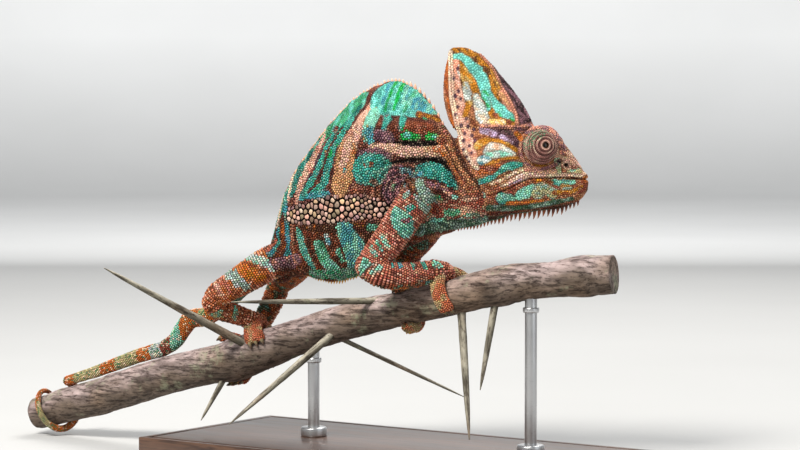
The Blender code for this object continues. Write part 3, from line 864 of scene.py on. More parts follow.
@dataclass
class Anatomy:
    """Measures points against the body's forms and the lines of the legs and tail."""

    plan: PlanCurve
    form: BodyForm
    branch: Branch
    legs: Legs
    tail: Tail
    body_bias: float = 0.6
    leg_names: tuple[tuple[str, str, str, float], ...] = (
        ("upper_arm_right", "forearm_right", "forefoot_right", 13),
        ("upper_arm_left", "forearm_left", "forefoot_left", 13),
        ("thigh_right", "shin_right", "hindfoot_right", 7),
        ("thigh_left", "shin_left", "hindfoot_left", 7),
    )

    @cached_property
    def chains(self) -> list[Array]:
        """Each leg's line."""
        return [self.legs.chain(upper, lower, foot, self.branch) for upper, lower, foot, _ in self.leg_names]

    @cached_property
    def tail_line(self) -> Array:
        """The tail's line."""
        return self.tail.line(self.branch)

    @cached_property
    def digit_lines(self) -> list[list[Array]]:
        """Each foot's digit lines."""
        return [[line for line, _ in self.legs.digits(name[2], self.branch)] for name in self.leg_names]

    @staticmethod
    def outward(leg: int) -> Array:
        """The direction that a leg's angles start from: its outer side, slightly up."""
        return unit(np.array((0.0, 1.0 if leg % 2 else -1.0, 0.25)))

    @staticmethod
    def along_line(points: Array, line: Array, reference: Array, reach: float) -> tuple[Array, Array, Array]:
        """Distance off a tube's surface, length along it and angle round it; far points give inf.

        Args:
            points: world points.
            line: the tube's rows of (x, y, z, radius).
            reference: the direction that angles start from.
            reach: how far off the line's box a point may be.

        Returns:
            Three arrays of one value per point.
        """
        shell = np.full(len(points), np.inf)
        length, turn = np.zeros(len(points)), np.zeros(len(points))
        low, high = line[:, :3].min(axis=0) - reach, line[:, :3].max(axis=0) + reach
        near = np.flatnonzero(((points > low) & (points < high)).all(axis=1))
        some = points[near]
        best = np.full(len(near), np.inf)
        starts = distances_along(line)
        steps = np.diff(starts)
        far, went = np.zeros(len(near)), np.zeros(len(near))
        for index, (start, end) in enumerate(zip(line, line[1:])):
            way = (end - start)[:3]
            share = np.clip((some - start[:3]) @ way / (way @ way), 0, 1)
            gap = some - start[:3] - share[:, None] * way
            distance = np.linalg.norm(gap, axis=1) - (start[3] + share * (end[3] - start[3]))
            closer = distance < best
            best[closer] = distance[closer]
            far[closer] = starts[index] + share[closer] * steps[index]
            axis = way / np.linalg.norm(way)
            first = unit(reference - (axis @ reference) * axis)
            angles = np.degrees(np.arctan2(gap @ np.cross(axis, first), gap @ first))
            went[closer] = angles[closer]
        shell[near], length[near], turn[near] = best, far, went
        return shell, length, turn

    def body_shell(self, station: Array, offset: Array, height: Array) -> Array:
        """Roughly how far points stand out of trunk and head.

        Args:
            station: the points' stations.
            offset: their offsets.
            height: their heights.

        Returns:
            Distances, negative inside.
        """
        top, bottom, width = self.form.row_at(station)
        rise = np.clip((height - (top + bottom) / 2) / ((top - bottom) / 2), -1, 1)
        return abs(offset) - width * np.sqrt(1 - rise**2)

    @cached_property
    def limbs(self) -> list[tuple[Part, int, Array, Array, float, float, float]]:
        """Tubes as they are measured: part, leg, line, where angles start, reach, depth and start."""
        found = [
            (Part.LEG, number, line, self.outward(number), 12, 4, self.leg_names[number][3])
            for number, line in enumerate(self.chains)
        ]
        found.append((Part.TAIL, -1, self.tail_line, TAIL_SIDE, 8, 3, 5))
        for number, lines in enumerate(self.digit_lines):
            found += [(Part.FOOT, number, line, self.outward(number), 5, 2, -1) for line in lines]
        return found

    def measure(self, points: Array) -> Spots:
        """The places of world points on the animal.

        Args:
            points: world points.

        Returns:
            The same points with their places.
        """
        station, offset = self.plan.locate(points)
        part = np.zeros(len(points), int)
        leg = np.full(len(points), -1)
        along, turn = np.zeros(len(points)), np.zeros(len(points))
        best = self.body_shell(station, offset, points[:, 2]) + self.body_bias
        for kind, number, line, reference, reach, depth, start in self.limbs:
            shell, length, angle = self.along_line(points, line, reference, reach)
            mine = (shell < best) & (shell < depth) & (length > start)
            part[mine], leg[mine], best[mine] = kind.value, number, shell[mine]
            along[mine], turn[mine] = length[mine], angle[mine]
        turn[leg % 2 == 1] *= -1
        return Spots(points, station, offset, part, leg, along, turn)


# ---------------------------------------------------------------- lines that relief, scales and colours share


def shifted(path: Path, ahead: float, up: float) -> Path:
    """A path moved in (station, height)."""
    return tuple((s + ahead, z + up) for s, z in path)


MOUTH: Path = (
    (90, 146.4), (84, 146.9), (76, 147.5), (66, 147.4), (59, 146.9), (55, 145), (50, 142.4), (44, 140),
    (40, 138.6),
)
RIM: Path = (  # the casque's rear edge
    (19.4, 209), (20.2, 195), (21, 185.5), (22.6, 178), (24.2, 170.5), (26.8, 164), (29.6, 158),
    (32.6, 153.8), (35, 152),
)
RIDGE: Path = (  # the casque's side ridge, from the brow to the peak
    (52.6, 179), (49.6, 185.4), (46, 191.2), (43.2, 196.6), (40.6, 201.4), (34.4, 208),
)
NOSTRIL = (77.2, 153.7)


# ---------------------------------------------------------------- colours


class Hue(Enum):
    """The colours of skin and scales, as 8-bit display values."""

    TEAL = (66, 160, 144)
    DEEP_TEAL = (38, 116, 104)
    BLUE_TEAL = (72, 152, 166)
    TURQUOISE = (114, 202, 188)
    PALE_TEAL = (134, 202, 178)
    SEA_GREEN = (62, 152, 108)
    GREEN = (24, 168, 70)
    BOTTLE_GREEN = (66, 96, 72)
    OCHRE = (186, 122, 34)
    ORANGE = (204, 112, 50)
    RUST = (130, 68, 44)
    SALMON = (196, 112, 90)
    BRICK = (144, 72, 56)
    MAROON = (84, 43, 38)
    CREAM = (240, 212, 182)
    BUTTER = (228, 190, 112)
    PINK = (216, 148, 122)
    BLUSH = (228, 180, 158)
    BEIGE = (212, 168, 138)
    SAND = (204, 150, 104)
    MAUVE = (140, 100, 108)
    PLUM = (84, 56, 70)
    LILAC = (196, 170, 196)
    MIST = (194, 204, 196)
    OLIVE = (190, 178, 128)
    UMBER = (78, 48, 34)
    SOOT = (30, 19, 18)
    TAN = (178, 118, 80)
    SAGE = (138, 168, 150)

    @property
    def linear(self) -> Array:
        """The colour in scene-linear values."""
        shown = np.array(self.value) / 255
        return np.where(shown <= 0.04045, shown / 12.92, ((shown + 0.055) / 1.055) ** 2.4)


def blend(colours: Array, hue: Hue | Array, cover: Array) -> None:
    """Paints a hue, or linear colours, over other colours by its cover."""
    goal = hue.linear if isinstance(hue, Hue) else hue
    colours += (goal - colours) * cover[:, None]


def tiled(colour: Array, count: int) -> Array:
    """The same linear colour for each of many points."""
    return np.tile(colour, (count, 1))


@dataclass(frozen=True)
class Mark:
    """A brush stroke on the body, placed in (station, height), alike on both sides.

    Attributes:
        hue: its colour.
        path: the stroke's points.
        widths: half widths, spread evenly along the path.
        fleck, share: the colour of odd scales in it, and how many of them there are.
        fray: how ragged its edge is, in millimetres.
    """

    hue: Hue
    path: Path
    widths: tuple[float, ...]
    fleck: Hue | None = None
    share: float = 0
    fray: float = 0.8

    def cover(self, flat: Array, ragged: Array, extra: float = 0) -> Array:
        """How much of each point the stroke, widened by extra, covers, from 0 to 1.

        Args:
            flat: rows of (station, height).
            ragged: noise that frays the edge.
            extra: added half width.

        Returns:
            The cover of each point.
        """
        distance, share = off_path(flat, path_line(self.path, 4))
        width = np.interp(share, np.linspace(0, 1, len(self.widths)), self.widths)
        return step_between(-0.35, 0.35, width + extra - distance + self.fray * ragged)


BODY_MARKS = (
    # back and flank, from the hips forward
    Mark(Hue.RUST, ((-80, 108), (-20, 106), (-2, 118)), (16, 17, 8), Hue.UMBER, 0.45),
    Mark(
        Hue.DEEP_TEAL, ((-90, 120), (-74, 140), (-60, 156), (-46, 170), (-30, 184)),
        (7, 8, 9, 8, 6), Hue.PALE_TEAL, 0.25,
    ),
    Mark(Hue.BEIGE, ((-78, 138), (-66, 156), (-52, 171), (-40, 181)), (1.6, 2, 2), Hue.MAUVE, 0.3),
    Mark(
        Hue.SEA_GREEN, ((-54, 160), (-44, 171), (-34, 181), (-27, 187)),
        (2.5, 4, 4.5, 3), Hue.TURQUOISE, 0.35,
    ),
    Mark(Hue.PLUM, ((-40, 171), (-48, 160), (-52, 150), (-57, 140)), (1.5, 1.6, 1.6), Hue.BRICK, 0.3),
    Mark(
        Hue.BLUSH, ((-49, 167), (-52, 160), (-57, 150), (-60.5, 143), (-63.5, 133)),
        (1.8, 2.4, 3, 2.4, 1.8), Hue.PINK, 0.3,
    ),
    Mark(
        Hue.TEAL, ((-42, 168), (-46, 158), (-48.5, 150), (-53, 144), (-59, 137)),
        (1.4, 1.9, 2.2, 2, 1.8), Hue.ORANGE, 0.05,
    ),
    Mark(Hue.MAROON, ((-36, 171), (-42.5, 160), (-45, 150), (-49, 143)), (0.9, 1.1, 1.3), Hue.RUST, 0.3),
    Mark(
        Hue.TEAL, ((-30, 176), (-36, 166), (-40, 158), (-42, 150), (-44.5, 143), (-52, 137.5)),
        (1.2, 2, 2.2, 2, 1.8), Hue.GREEN, 0.15,
    ),
    Mark(Hue.BLUE_TEAL, ((-60, 135.5), (-42, 138)), (1.5, 1.9), Hue.TEAL, 0.5),
    Mark(
        Hue.BLUSH, ((-19, 184), (-22.5, 177), (-26, 169), (-29.5, 163)),
        (1.8, 2.8, 4, 5.2), Hue.PINK, 0.35, 0.5,
    ),
    Mark(Hue.SAND, ((-30.5, 160), (-31.5, 150), (-33.5, 142)), (5.8, 6.2, 4.8), Hue.ORANGE, 0.2, 0.6),
    Mark(Hue.BLUSH, ((-30, 163), (-31.5, 154)), (3.4, 2.6), Hue.BEIGE, 0.4, 1.2),
    Mark(Hue.BLUE_TEAL, ((-31, 157), (-30.5, 149)), (0.7,), Hue.SAND, 0.5, 1.2),
    # the fan of green and blue below the hump
    Mark(Hue.ORANGE, ((-11, 195), (-14, 188), (-18, 180), (-21, 174)), (1.5, 1.7, 1.3), Hue.RUST, 0.4, 0.4),
    Mark(Hue.TURQUOISE, ((-13, 186), (-5, 186), (4, 182)), (8, 8.5, 5), Hue.TEAL, 0.4),
    Mark(Hue.BLUE_TEAL, ((-12.5, 194), (-13, 184)), (1.2,), Hue.TURQUOISE, 0.3, 0.5),
    Mark(Hue.GREEN, ((-9.5, 194), (-11, 180)), (0.8,), Hue.TEAL, 0.4, 0.5),
    Mark(Hue.GREEN, ((-5.5, 195), (-6, 181)), (1,), Hue.TEAL, 0.35, 0.5),
    Mark(Hue.PALE_TEAL, ((-2.6, 194), (-2, 184)), (1,), Hue.BLUE_TEAL, 0.4, 0.5),
    Mark(Hue.SEA_GREEN, ((1.5, 189), (-1, 180)), (1,), Hue.PALE_TEAL, 0.3, 0.5),
    Mark(Hue.RUST, ((-4, 198), (1, 195.5), (5.5, 191), (11, 185)), (1.3, 1.7, 1.2, 0.6), Hue.OCHRE, 0.5, 0.8),
    Mark(Hue.BLUE_TEAL, ((3, 184), (11, 180)), (3, 2.2), Hue.PALE_TEAL, 0.5),
    Mark(Hue.OCHRE, ((6, 178.5), (14, 176)), (1.4, 1.3), Hue.RUST, 0.55),
    Mark(Hue.SEA_GREEN, ((8, 176.4), (9.4, 176)), (0.7,), Hue.RUST, 0.3),
    Mark(Hue.RUST, ((2, 172), (10, 171.5)), (3.4, 3), Hue.SALMON, 0.3),
    Mark(Hue.PALE_TEAL, ((-17, 178), (-19, 170), (-18, 166)), (3.6, 3.4, 2.2), Hue.OCHRE, 0.2),
    Mark(Hue.BLUE_TEAL, ((-18, 170), (-16.5, 165)), (2.4, 2), Hue.PALE_TEAL, 0.3),
    Mark(Hue.TEAL, ((-9, 176), (-10, 171)), (2.4, 1.6), Hue.MAUVE, 0.3),
    Mark(Hue.MAUVE, ((-12, 168), (-7, 166.5)), (3.4, 2.6), Hue.PLUM, 0.4),
    Mark(Hue.TEAL, ((-1, 176), (-1.5, 171.5)), (1.6,), Hue.GREEN, 0.3),
    Mark(Hue.GREEN, ((1.5, 167.8), (6.4, 167.2)), (2.5, 1.6), None, 0, 0.6),
    Mark(Hue.TURQUOISE, ((1.5, 168.2), (3, 167.6)), (1.4, 0.6), Hue.TEAL, 0.4, 0.6),
    Mark(Hue.GREEN, ((11.6, 167.4), (15, 167)), (1.8, 1.4), None, 0, 0.6),
    Mark(Hue.TURQUOISE, ((13, 167.4), (14.4, 167)), (0.8,), Hue.TEAL, 0.4, 0.6),
    Mark(Hue.GREEN, ((16.5, 172.5), (18, 172)), (0.9,), Hue.RUST, 0.4, 0.6),
    # folds of the neck, with painted shade along their grooves, and the pale ridge of the neck
    Mark(Hue.SOOT, ((-4, 164.2), (6, 163.8), (18, 164)), (1.2, 2, 1.5), None, 0, 0.3),
    Mark(
        Hue.BLUSH, ((-16, 162.3), (-7, 162), (2, 159.8), (10, 159.6), (18, 160.4)),
        (1.4, 1.7, 2.7, 2.9, 2.2), Hue.BEIGE, 0.5, 0.4,
    ),
    Mark(Hue.PLUM, ((-22, 158), (-14, 160), (-7, 158)), (2.2, 2, 1.6), Hue.MAUVE, 0.5),
    # painted shade along the groove of the lower fold
    Mark(
        Hue.SOOT, ((-8, 154), (2, 155.6), (12, 156), (20, 153.6), (26.4, 147)),
        (0.9, 1.4, 1.8, 1.9, 1.4), None, 0, 0.3,
    ),
    Mark(Hue.TAN, ((17, 166), (22, 158), (28, 148), (33, 141)), (2.8, 3.6, 3.4, 2.6), Hue.BRICK, 0.42, 0.5),
    Mark(Hue.BEIGE, ((12, 160.5), (20, 162)), (1.6,), Hue.ORANGE, 0.4, 0.5),
    Mark(Hue.SAND, ((19.6, 165), (26, 153), (33.6, 143.4)), (0.9, 1, 0.7), Hue.TAN, 0.4, 0.3),
    Mark(Hue.ORANGE, ((17, 161), (22.6, 153), (28, 145)), (0.6, 0.8, 0.6), Hue.TAN, 0.4, 0.3),
    Mark(Hue.UMBER, ((18.6, 163), (24.4, 153.4), (31, 144)), (0.4, 0.5, 0.4), None, 0, 0.3),
    Mark(Hue.UMBER, ((21.4, 165.6), (28, 153.6), (35, 144)), (0.4, 0.5, 0.4), None, 0, 0.3),
    # the round patch and the shoulder
    Mark(Hue.TEAL, ((-18, 151), (-13, 151)), (8, 7.4), Hue.DEEP_TEAL, 0.22),
    Mark(Hue.RUST, ((-16, 153.4), (-19, 153)), (1.2, 0.8), Hue.TEAL, 0.5),
    Mark(Hue.UMBER, ((-15, 145.6), (-14, 144)), (1.5,), Hue.TEAL, 0.4),
    Mark(Hue.MAUVE, ((-2, 149), (-6, 141), (-3, 134)), (4.5, 4.5, 3.5), Hue.PLUM, 0.5),
    Mark(
        Hue.TEAL, ((9.5, 150.6), (14.5, 150.6), (20, 147), (25.6, 142.2)),
        (3.2, 3.9, 3, 0.7), Hue.DEEP_TEAL, 0.3, 0.5,
    ),
    Mark(Hue.BLUE_TEAL, ((0.4, 150.6), (4, 151)), (1.5, 1.1), Hue.SAGE, 0.4, 0.5),
    Mark(Hue.BLUE_TEAL, ((4.6, 148.4), (9, 148.8)), (1.3, 1.5), Hue.SAGE, 0.4, 0.5),
    Mark(Hue.MAUVE, ((12.5, 144.6), (18, 143), (23, 139.8)), (1.3, 1.7, 1.1), Hue.PINK, 0.4, 0.6),
    Mark(Hue.SAGE, ((9.6, 146), (11, 142.4), (13.4, 138), (15, 134.6)), (1.7, 2.2, 2.7, 2), Hue.MIST, 0.35),
    Mark(Hue.OCHRE, ((6.8, 144.4), (7.8, 139)), (0.9,), Hue.RUST, 0.5, 0.4),
    Mark(Hue.MAROON, ((7.4, 146.8), (12, 147.2), (18, 144.8), (22.8, 141)), (0.5,), None, 0, 0.3),
    Mark(Hue.MAROON, ((17.4, 141.6), (20, 137), (21.4, 132)), (0.6,), None, 0, 0.3),
    Mark(Hue.BLUSH, ((19.6, 140.6), (25, 137), (30, 133.4)), (0.6,), Hue.PINK, 0.4, 0.3),
    Mark(Hue.BLUSH, ((18.6, 133.4), (26, 132.8), (36, 134.4)), (0.6,), Hue.PINK, 0.4, 0.3),
    Mark(Hue.SAGE, ((1.3, 142.6), (1.8, 137)), (1.3, 1.5), Hue.BLUE_TEAL, 0.5),
    Mark(Hue.SEA_GREEN, ((16.8, 137.4), (17.6, 136)), (1.1,), Hue.OLIVE, 0.5),
    Mark(Hue.PALE_TEAL, ((24.2, 137.4), (24.8, 135.8)), (1.5,), Hue.TEAL, 0.4),
    Mark(Hue.SAGE, ((31.2, 135.8), (32, 134.8)), (1.2,), Hue.BLUE_TEAL, 0.4),
    Mark(Hue.SEA_GREEN, ((-4.5, 143), (-4.5, 141)), (1.2,), Hue.TEAL, 0.4),
    # throat and chest
    Mark(Hue.BRICK, ((10, 128), (24, 130), (34, 132)), (6, 6.5, 6), Hue.BEIGE, 0.42),
    Mark(
        Hue.SAGE, ((4, 121), (16, 123.5), (30, 125), (48, 128.5)),
        (3.2, 2.8, 2.4, 2), Hue.BOTTLE_GREEN, 0.5,
    ),
    Mark(Hue.SAGE, ((20.6, 129.6), (26, 130.4)), (1.9, 1.4), Hue.SEA_GREEN, 0.55),
    Mark(Hue.SEA_GREEN, ((28.6, 128.4), (34, 129.4)), (0.9,), Hue.SAGE, 0.5),
    Mark(Hue.PALE_TEAL, ((13, 125.8), (17, 126.2)), (0.9,), Hue.SEA_GREEN, 0.4),
    Mark(Hue.TEAL, ((7.8, 133), (8.6, 132)), (1.2,), Hue.MIST, 0.3),
    Mark(Hue.SEA_GREEN, ((9.4, 129.4), (10, 128.6)), (0.8,), Hue.OLIVE, 0.3),
    # below the lateral band
    Mark(Hue.UMBER, ((-56, 121.5), (-38, 121)), (3.2, 3), Hue.ORANGE, 0.22),
    Mark(Hue.PALE_TEAL, ((-62, 118), (-60, 108), (-55, 97)), (2.2, 2.9, 1.6), Hue.TEAL, 0.5),
    Mark(Hue.PALE_TEAL, ((-49, 112), (-46.5, 104), (-41, 95)), (2.8, 4.4, 4), Hue.SEA_GREEN, 0.5),
    Mark(Hue.PALE_TEAL, ((-32, 121), (-29, 112), (-31, 102)), (4.6, 6.2, 4.2), Hue.BLUE_TEAL, 0.45),
    Mark(Hue.MIST, ((-43, 117), (-42.6, 113.6)), (1.2,), Hue.BLUE_TEAL, 0.4),
    Mark(Hue.PALE_TEAL, ((-38, 109.6), (-37, 105)), (1.7, 1.4), Hue.SEA_GREEN, 0.4),
    Mark(Hue.SEA_GREEN, ((-19, 122), (-9, 121.4)), (1.5, 1.7), Hue.PALE_TEAL, 0.5),
    Mark(Hue.SEA_GREEN, ((-60, 96), (-30, 98)), (2.2, 2.8), Hue.SAGE, 0.5),
    # hips
    Mark(Hue.CREAM, ((-71, 146), (-70, 134)), (1.1, 1.4), Hue.PINK, 0.3),
    Mark(Hue.BLUE_TEAL, ((-72, 131), (-70.5, 120), (-71.5, 106)), (1.5, 1.7, 1.4), Hue.TEAL, 0.4),
    Mark(Hue.PINK, ((-67.4, 129), (-67, 118), (-68, 106)), (0.7, 0.9, 0.7), Hue.TAN, 0.45),
    Mark(Hue.ORANGE, ((-74.6, 123), (-74.2, 110)), (0.9,), Hue.RUST, 0.4),
    Mark(Hue.CREAM, ((-77, 136), (-79, 120)), (1.1, 1.2), Hue.OLIVE, 0.4),
    Mark(Hue.TEAL, ((-78, 119), (-77.6, 106)), (1.3, 1.2), Hue.BLUE_TEAL, 0.4),
    Mark(Hue.SALMON, ((-80.6, 113), (-80, 104)), (0.9, 1.2), Hue.BLUE_TEAL, 0.4),
    Mark(Hue.TEAL, ((-81, 130), (-85, 114)), (1.5, 1.3), Hue.BOTTLE_GREEN, 0.4),
    Mark(Hue.MAUVE, ((-66, 104), (-80, 100)), (3, 3), Hue.PINK, 0.3),
)
SHOULDER = (1, 139)
CROWN_HEIGHT = 172.5  # above it, hump and casque carry flat scales
BAND_PATH: Path = ((-67, 126), (-50, 128.8), (-30, 131.5), (-12, 131.5), (-2, 130))
BAND_WIDTHS = (4.4, 6.2, 6.8, 6, 2.8)

HEAD_MARKS = (
    Mark(Hue.TAN, ((24, 160), (80, 148)), (40,), Hue.RUST, 0.42),
    Mark(Hue.BEIGE, ((70, 166), (78, 158), (86, 150)), (6, 5.4, 4), Hue.RUST, 0.45),
    # casque: golden panels, turquoise stripe, pale patches, spotted pink strip
    Mark(Hue.OCHRE, ((24, 206), (40, 190), (50, 180)), (12, 12, 8), Hue.UMBER, 0.44, 0.3),
    Mark(Hue.BUTTER, ((41, 200), (46, 191), (50, 183)), (1.5, 2.2, 1.5), Hue.OCHRE, 0.6, 0.8),
    Mark(Hue.SAND, ((45.6, 188.6), (49, 183), (51.4, 178)), (2, 2.2, 1.4), Hue.PINK, 0.5),
    Mark(
        Hue.PINK, ((18, 206), (22, 190), (25, 175), (29, 162), (33, 155)),
        (3, 4, 5, 4.5, 3), Hue.BLUSH, 0.55, 0.6,
    ),
    Mark(Hue.OCHRE, ((25.5, 202), (29, 196), (31, 189), (28, 178)), (2.4, 3.4, 2, 1.2), Hue.BUTTER, 0.35),
    Mark(Hue.PINK, ((22, 204), (23.4, 198)), (2, 1.6), Hue.MIST, 0.5),
    Mark(Hue.MIST, ((27.6, 193), (29.2, 186.6)), (1.7, 1.7), Hue.BUTTER, 0.2),
    Mark(Hue.MIST, ((33, 186.6), (35, 181), (37.4, 175)), (1.6, 3, 2.6), Hue.CREAM, 0.4),
    Mark(
        Hue.TURQUOISE,
        ((20.5, 206.8), (25, 207), (29, 203.8), (33.6, 199.4), (36, 195.2), (37.8, 190.4), (38.4, 187.6)),
        (1.2, 1.5, 2.3, 2.8, 2.8, 2.7, 2.4), Hue.PALE_TEAL, 0.25, 0.6,
    ),
    Mark(Hue.TURQUOISE, ((38.4, 188.4), (39.2, 185), (39.2, 181.4)), (2.4, 1.6, 1), Hue.GREEN, 0.5, 0.6),
    Mark(
        Hue.TURQUOISE, ((40.6, 187), (43.2, 182.8), (46.4, 179.4), (49.4, 178), (52, 176.4)),
        (1.4, 2, 3, 2, 1), Hue.GREEN, 0.12, 0.6,
    ),
    Mark(Hue.GREEN, ((51, 176.2), (52, 176)), (0.9,), Hue.TURQUOISE, 0.3, 0.4),
    Mark(Hue.RUST, ((42, 178.5), (46, 175.8), (50, 174.6)), (0.9,), Hue.OCHRE, 0.5),
    Mark(Hue.BUTTER, ((40, 174.8), (47, 174.4)), (1.7, 1.3), Hue.CREAM, 0.4),
    Mark(
        Hue.MAUVE,
        ((58.8, 173.4), (57.4, 178), (54.4, 185), (50, 191.4), (46.4, 196.4), (43.4, 201), (37, 209)),
        (4.6, 4.5, 4.5, 3.6, 2.6, 1.8, 1), Hue.SOOT, 0.42, 0.3,
    ),
    Mark(Hue.PINK, ((53.6, 174), *RIDGE), (0.8, 0.7, 0.6, 0.5, 0.5, 0.5, 0.5), None, 0, 0.1),
    # temple, cheek and face
    Mark(Hue.PLUM, ((40, 170.4), (48, 167.5), (54.5, 164)), (2.4, 4, 3.6), Hue.MAUVE, 0.5),
    Mark(Hue.LILAC, ((36.6, 171), (41.6, 169)), (1.9, 1.9), Hue.MAUVE, 0.35),
    Mark(Hue.LILAC, ((46, 167.4), (50.6, 164.6)), (0.9, 0.8), Hue.MAUVE, 0.4),
    Mark(Hue.SOOT, ((41.4, 171.6), (46, 171), (52, 168)), (0.5, 0.8, 0.6), Hue.MAUVE, 0.4),
    Mark(Hue.PINK, ((36, 172.8), (46, 172.4), (58, 172.2)), (0.9, 0.8, 0.9), Hue.MAUVE, 0.25, 0.15),
    Mark(
        Hue.OCHRE, ((34.5, 163), (38, 165.4), (46, 164.6), (53.5, 161)),
        (1.7, 1.5, 1.2, 1), Hue.BUTTER, 0.3, 0.4,
    ),
    Mark(Hue.MIST, ((41.4, 160.6), (46, 160), (52, 158.9)), (3.9, 3.6, 1.2), Hue.CREAM, 0.4, 0.4),
    Mark(Hue.PALE_TEAL, ((40, 158.6), (46, 159), (51, 158.4)), (1.5, 1.8, 1), Hue.MIST, 0.4, 0.6),
    Mark(Hue.BEIGE, ((40.6, 162.8), (44.6, 162.4)), (1.7, 1.2), Hue.MIST, 0.45, 0.4),
    Mark(Hue.MIST, ((36.6, 156), (39.5, 156.4)), (2.2, 1.8), Hue.BLUE_TEAL, 0.3, 0.5),
    Mark(
        Hue.OCHRE, ((38, 153), (43, 155.6), (50, 157.2), (54, 157.4)),
        (0.9, 1, 0.8, 0.7), Hue.RUST, 0.3, 0.3,
    ),
    Mark(Hue.BRICK, ((36, 151), (44, 152.4), (52, 155.4)), (1.9, 1.7, 1), Hue.ORANGE, 0.5, 0.5),
    Mark(
        Hue.TEAL, ((35.6, 145.4), (39, 146.6), (42.4, 148), (45.4, 150.4), (49.4, 153), (55.6, 154)),
        (1.1, 1.5, 0.9, 1.6, 2, 1.2), Hue.TURQUOISE, 0.3, 0.35,
    ),
    Mark(
        Hue.CREAM,
        ((40, 140.4), (44.5, 141.6), (49.5, 143.8), (54, 146.4),
         (58, 148.3), (66, 148.8), (76, 148.9), (85, 148.3)),
        (0.8, 1.3, 1.9, 1.9, 1.4, 0.9, 0.7, 0.5), Hue.BLUSH, 0.45, 0.15,
    ),
    Mark(Hue.CREAM, ((41.4, 144.4), (47, 147), (52.4, 149.9), (57.5, 151.8)), (0.7,), Hue.TAN, 0.45, 0.2),
    Mark(Hue.LILAC, ((49.6, 143.4), (55.4, 146.6)), (0.5,), Hue.CREAM, 0.3, 0.2),
    Mark(Hue.OCHRE, ((61, 153), (68, 152.6)), (1.5, 1.2), Hue.RUST, 0.5, 0.5),
    Mark(Hue.PALE_TEAL, ((73, 156), (74, 150.6)), (1.3, 1.1), Hue.OLIVE, 0.5, 0.5),
    Mark(Hue.SOOT, ((73.6, 155.8), (74.2, 155.2)), (0.7,), Hue.PLUM, 0.4, 0.3),
    Mark(Hue.BLUSH, ((70, 166), (78, 159.6), (84.5, 153)), (0.7,), Hue.RUST, 0.3, 0.2),
    Mark(Hue.BLUSH, ((75.6, 153.6), (77.4, 155.6), (79, 153.4)), (0.6,), Hue.PINK, 0.3, 0.2),
    Mark(Hue.OLIVE, ((78.6, 150.8), (84, 150.6)), (0.8,), Hue.PALE_TEAL, 0.4, 0.5),
    Mark(Hue.PINK, ((58, 152), (66, 150.6), (72, 150.8)), (0.9,), Hue.BEIGE, 0.5, 0.4),
    Mark(
        Hue.PINK, ((56, 168), (55, 161), (58, 154.5), (65, 151.8), (72.5, 154)),
        (0.8,), Hue.MAUVE, 0.5, 0.3,
    ),
    Mark(
        Hue.PINK, ((53.6, 170.6), (59, 172.6), (65, 172.8), (71, 170), (75, 165), (75.6, 160)),
        (1.8, 1.9, 2.1, 1.8, 1.4), Hue.MAUVE, 0.5, 0.3,
    ),
    Mark(Hue.ORANGE, ((53.2, 169.2), (55.4, 166.6)), (1.2,), Hue.OCHRE, 0.4, 0.3),
    Mark(Hue.PLUM, ((65, 163), (65, 163)), (8.6,), Hue.MAUVE, 0.4, 0.2),
    # painted shade in the nostril's pit
    Mark(Hue.SOOT, ((77, 153.9), (77.6, 153.5)), (0.7,), None, 0, 0.1),
    # lower jaw
    Mark(Hue.TAN, ((40, 138.6), (52, 140), (64, 142), (84, 143)), (3.6, 4.4, 4.6, 3), Hue.BRICK, 0.5),
    Mark(Hue.PALE_TEAL, ((46, 137.8), (50, 137)), (2.9, 2.6), Hue.TEAL, 0.3, 0.8),
    Mark(Hue.PALE_TEAL, ((54.4, 138.4), (58, 140.4), (61.4, 143)), (2.2, 3, 1.6), Hue.TEAL, 0.3, 0.8),
    Mark(Hue.SAGE, ((63.6, 139.6), (66, 143), (70.6, 140)), (3, 2.4, 2.6), Hue.OLIVE, 0.5, 0.8),
    Mark(Hue.PALE_TEAL, ((71.4, 145.2), (76, 145), (81, 145.2)), (1.4, 1.5, 0.9), Hue.TEAL, 0.35, 0.6),
    Mark(Hue.SAGE, ((76, 143), (79, 142.6)), (1.5, 1.2), Hue.OCHRE, 0.45, 0.6),
    Mark(Hue.OCHRE, ((60, 146), (66, 146.4), (70.6, 145)), (1.2, 1.1, 0.8), Hue.RUST, 0.5, 0.5),
    Mark(Hue.OCHRE, ((72, 140), (80, 140.6), (85, 143)), (1, 1, 0.7), Hue.RUST, 0.45, 0.4),
    Mark(Hue.ORANGE, ((85, 145.6), (87, 147)), (1.5,), Hue.RUST, 0.4, 0.5),
    Mark(Hue.ORANGE, ((49, 134.8), (58, 135.2), (66, 136.2)), (0.9, 0.8, 0.7), Hue.OCHRE, 0.4, 0.5),
    Mark(
        Hue.BOTTLE_GREEN, ((40, 132), (52, 132), (66, 134), (80, 137)),
        (2, 1.5, 1.5, 1.1), Hue.SAGE, 0.42, 0.5,
    ),
    Mark(Hue.RUST, ((36, 129.4), (52, 130), (68, 132), (82, 135.4)), (1, 1, 0.8, 0.8), Hue.MAROON, 0.4, 0.4),
    Mark(Hue.UMBER, ((40, 126), (60, 128.6), (84, 133)), (2.4, 2.4, 2.4), Hue.BOTTLE_GREEN, 0.4, 0.4),
    Mark(Hue.SAGE, ((35.6, 139.6), (37.4, 138.8)), (1.6, 1.2), Hue.MIST, 0.4, 0.6),
    # the pale rear rim of the casque, and the strip behind it
    Mark(
        Hue.RUST, ((16, 208), (16.2, 195), (17, 183), (20, 172)),
        (2.2, 2.4, 2.6, 2.4), Hue.ORANGE, 0.5, 0.2,
    ),
    Mark(Hue.CREAM, RIM, (1.1, 1.3, 1.5, 1.6, 1.6, 1.6, 1.5, 1.3, 0.8), Hue.BLUSH, 0.4, 0.15),
)
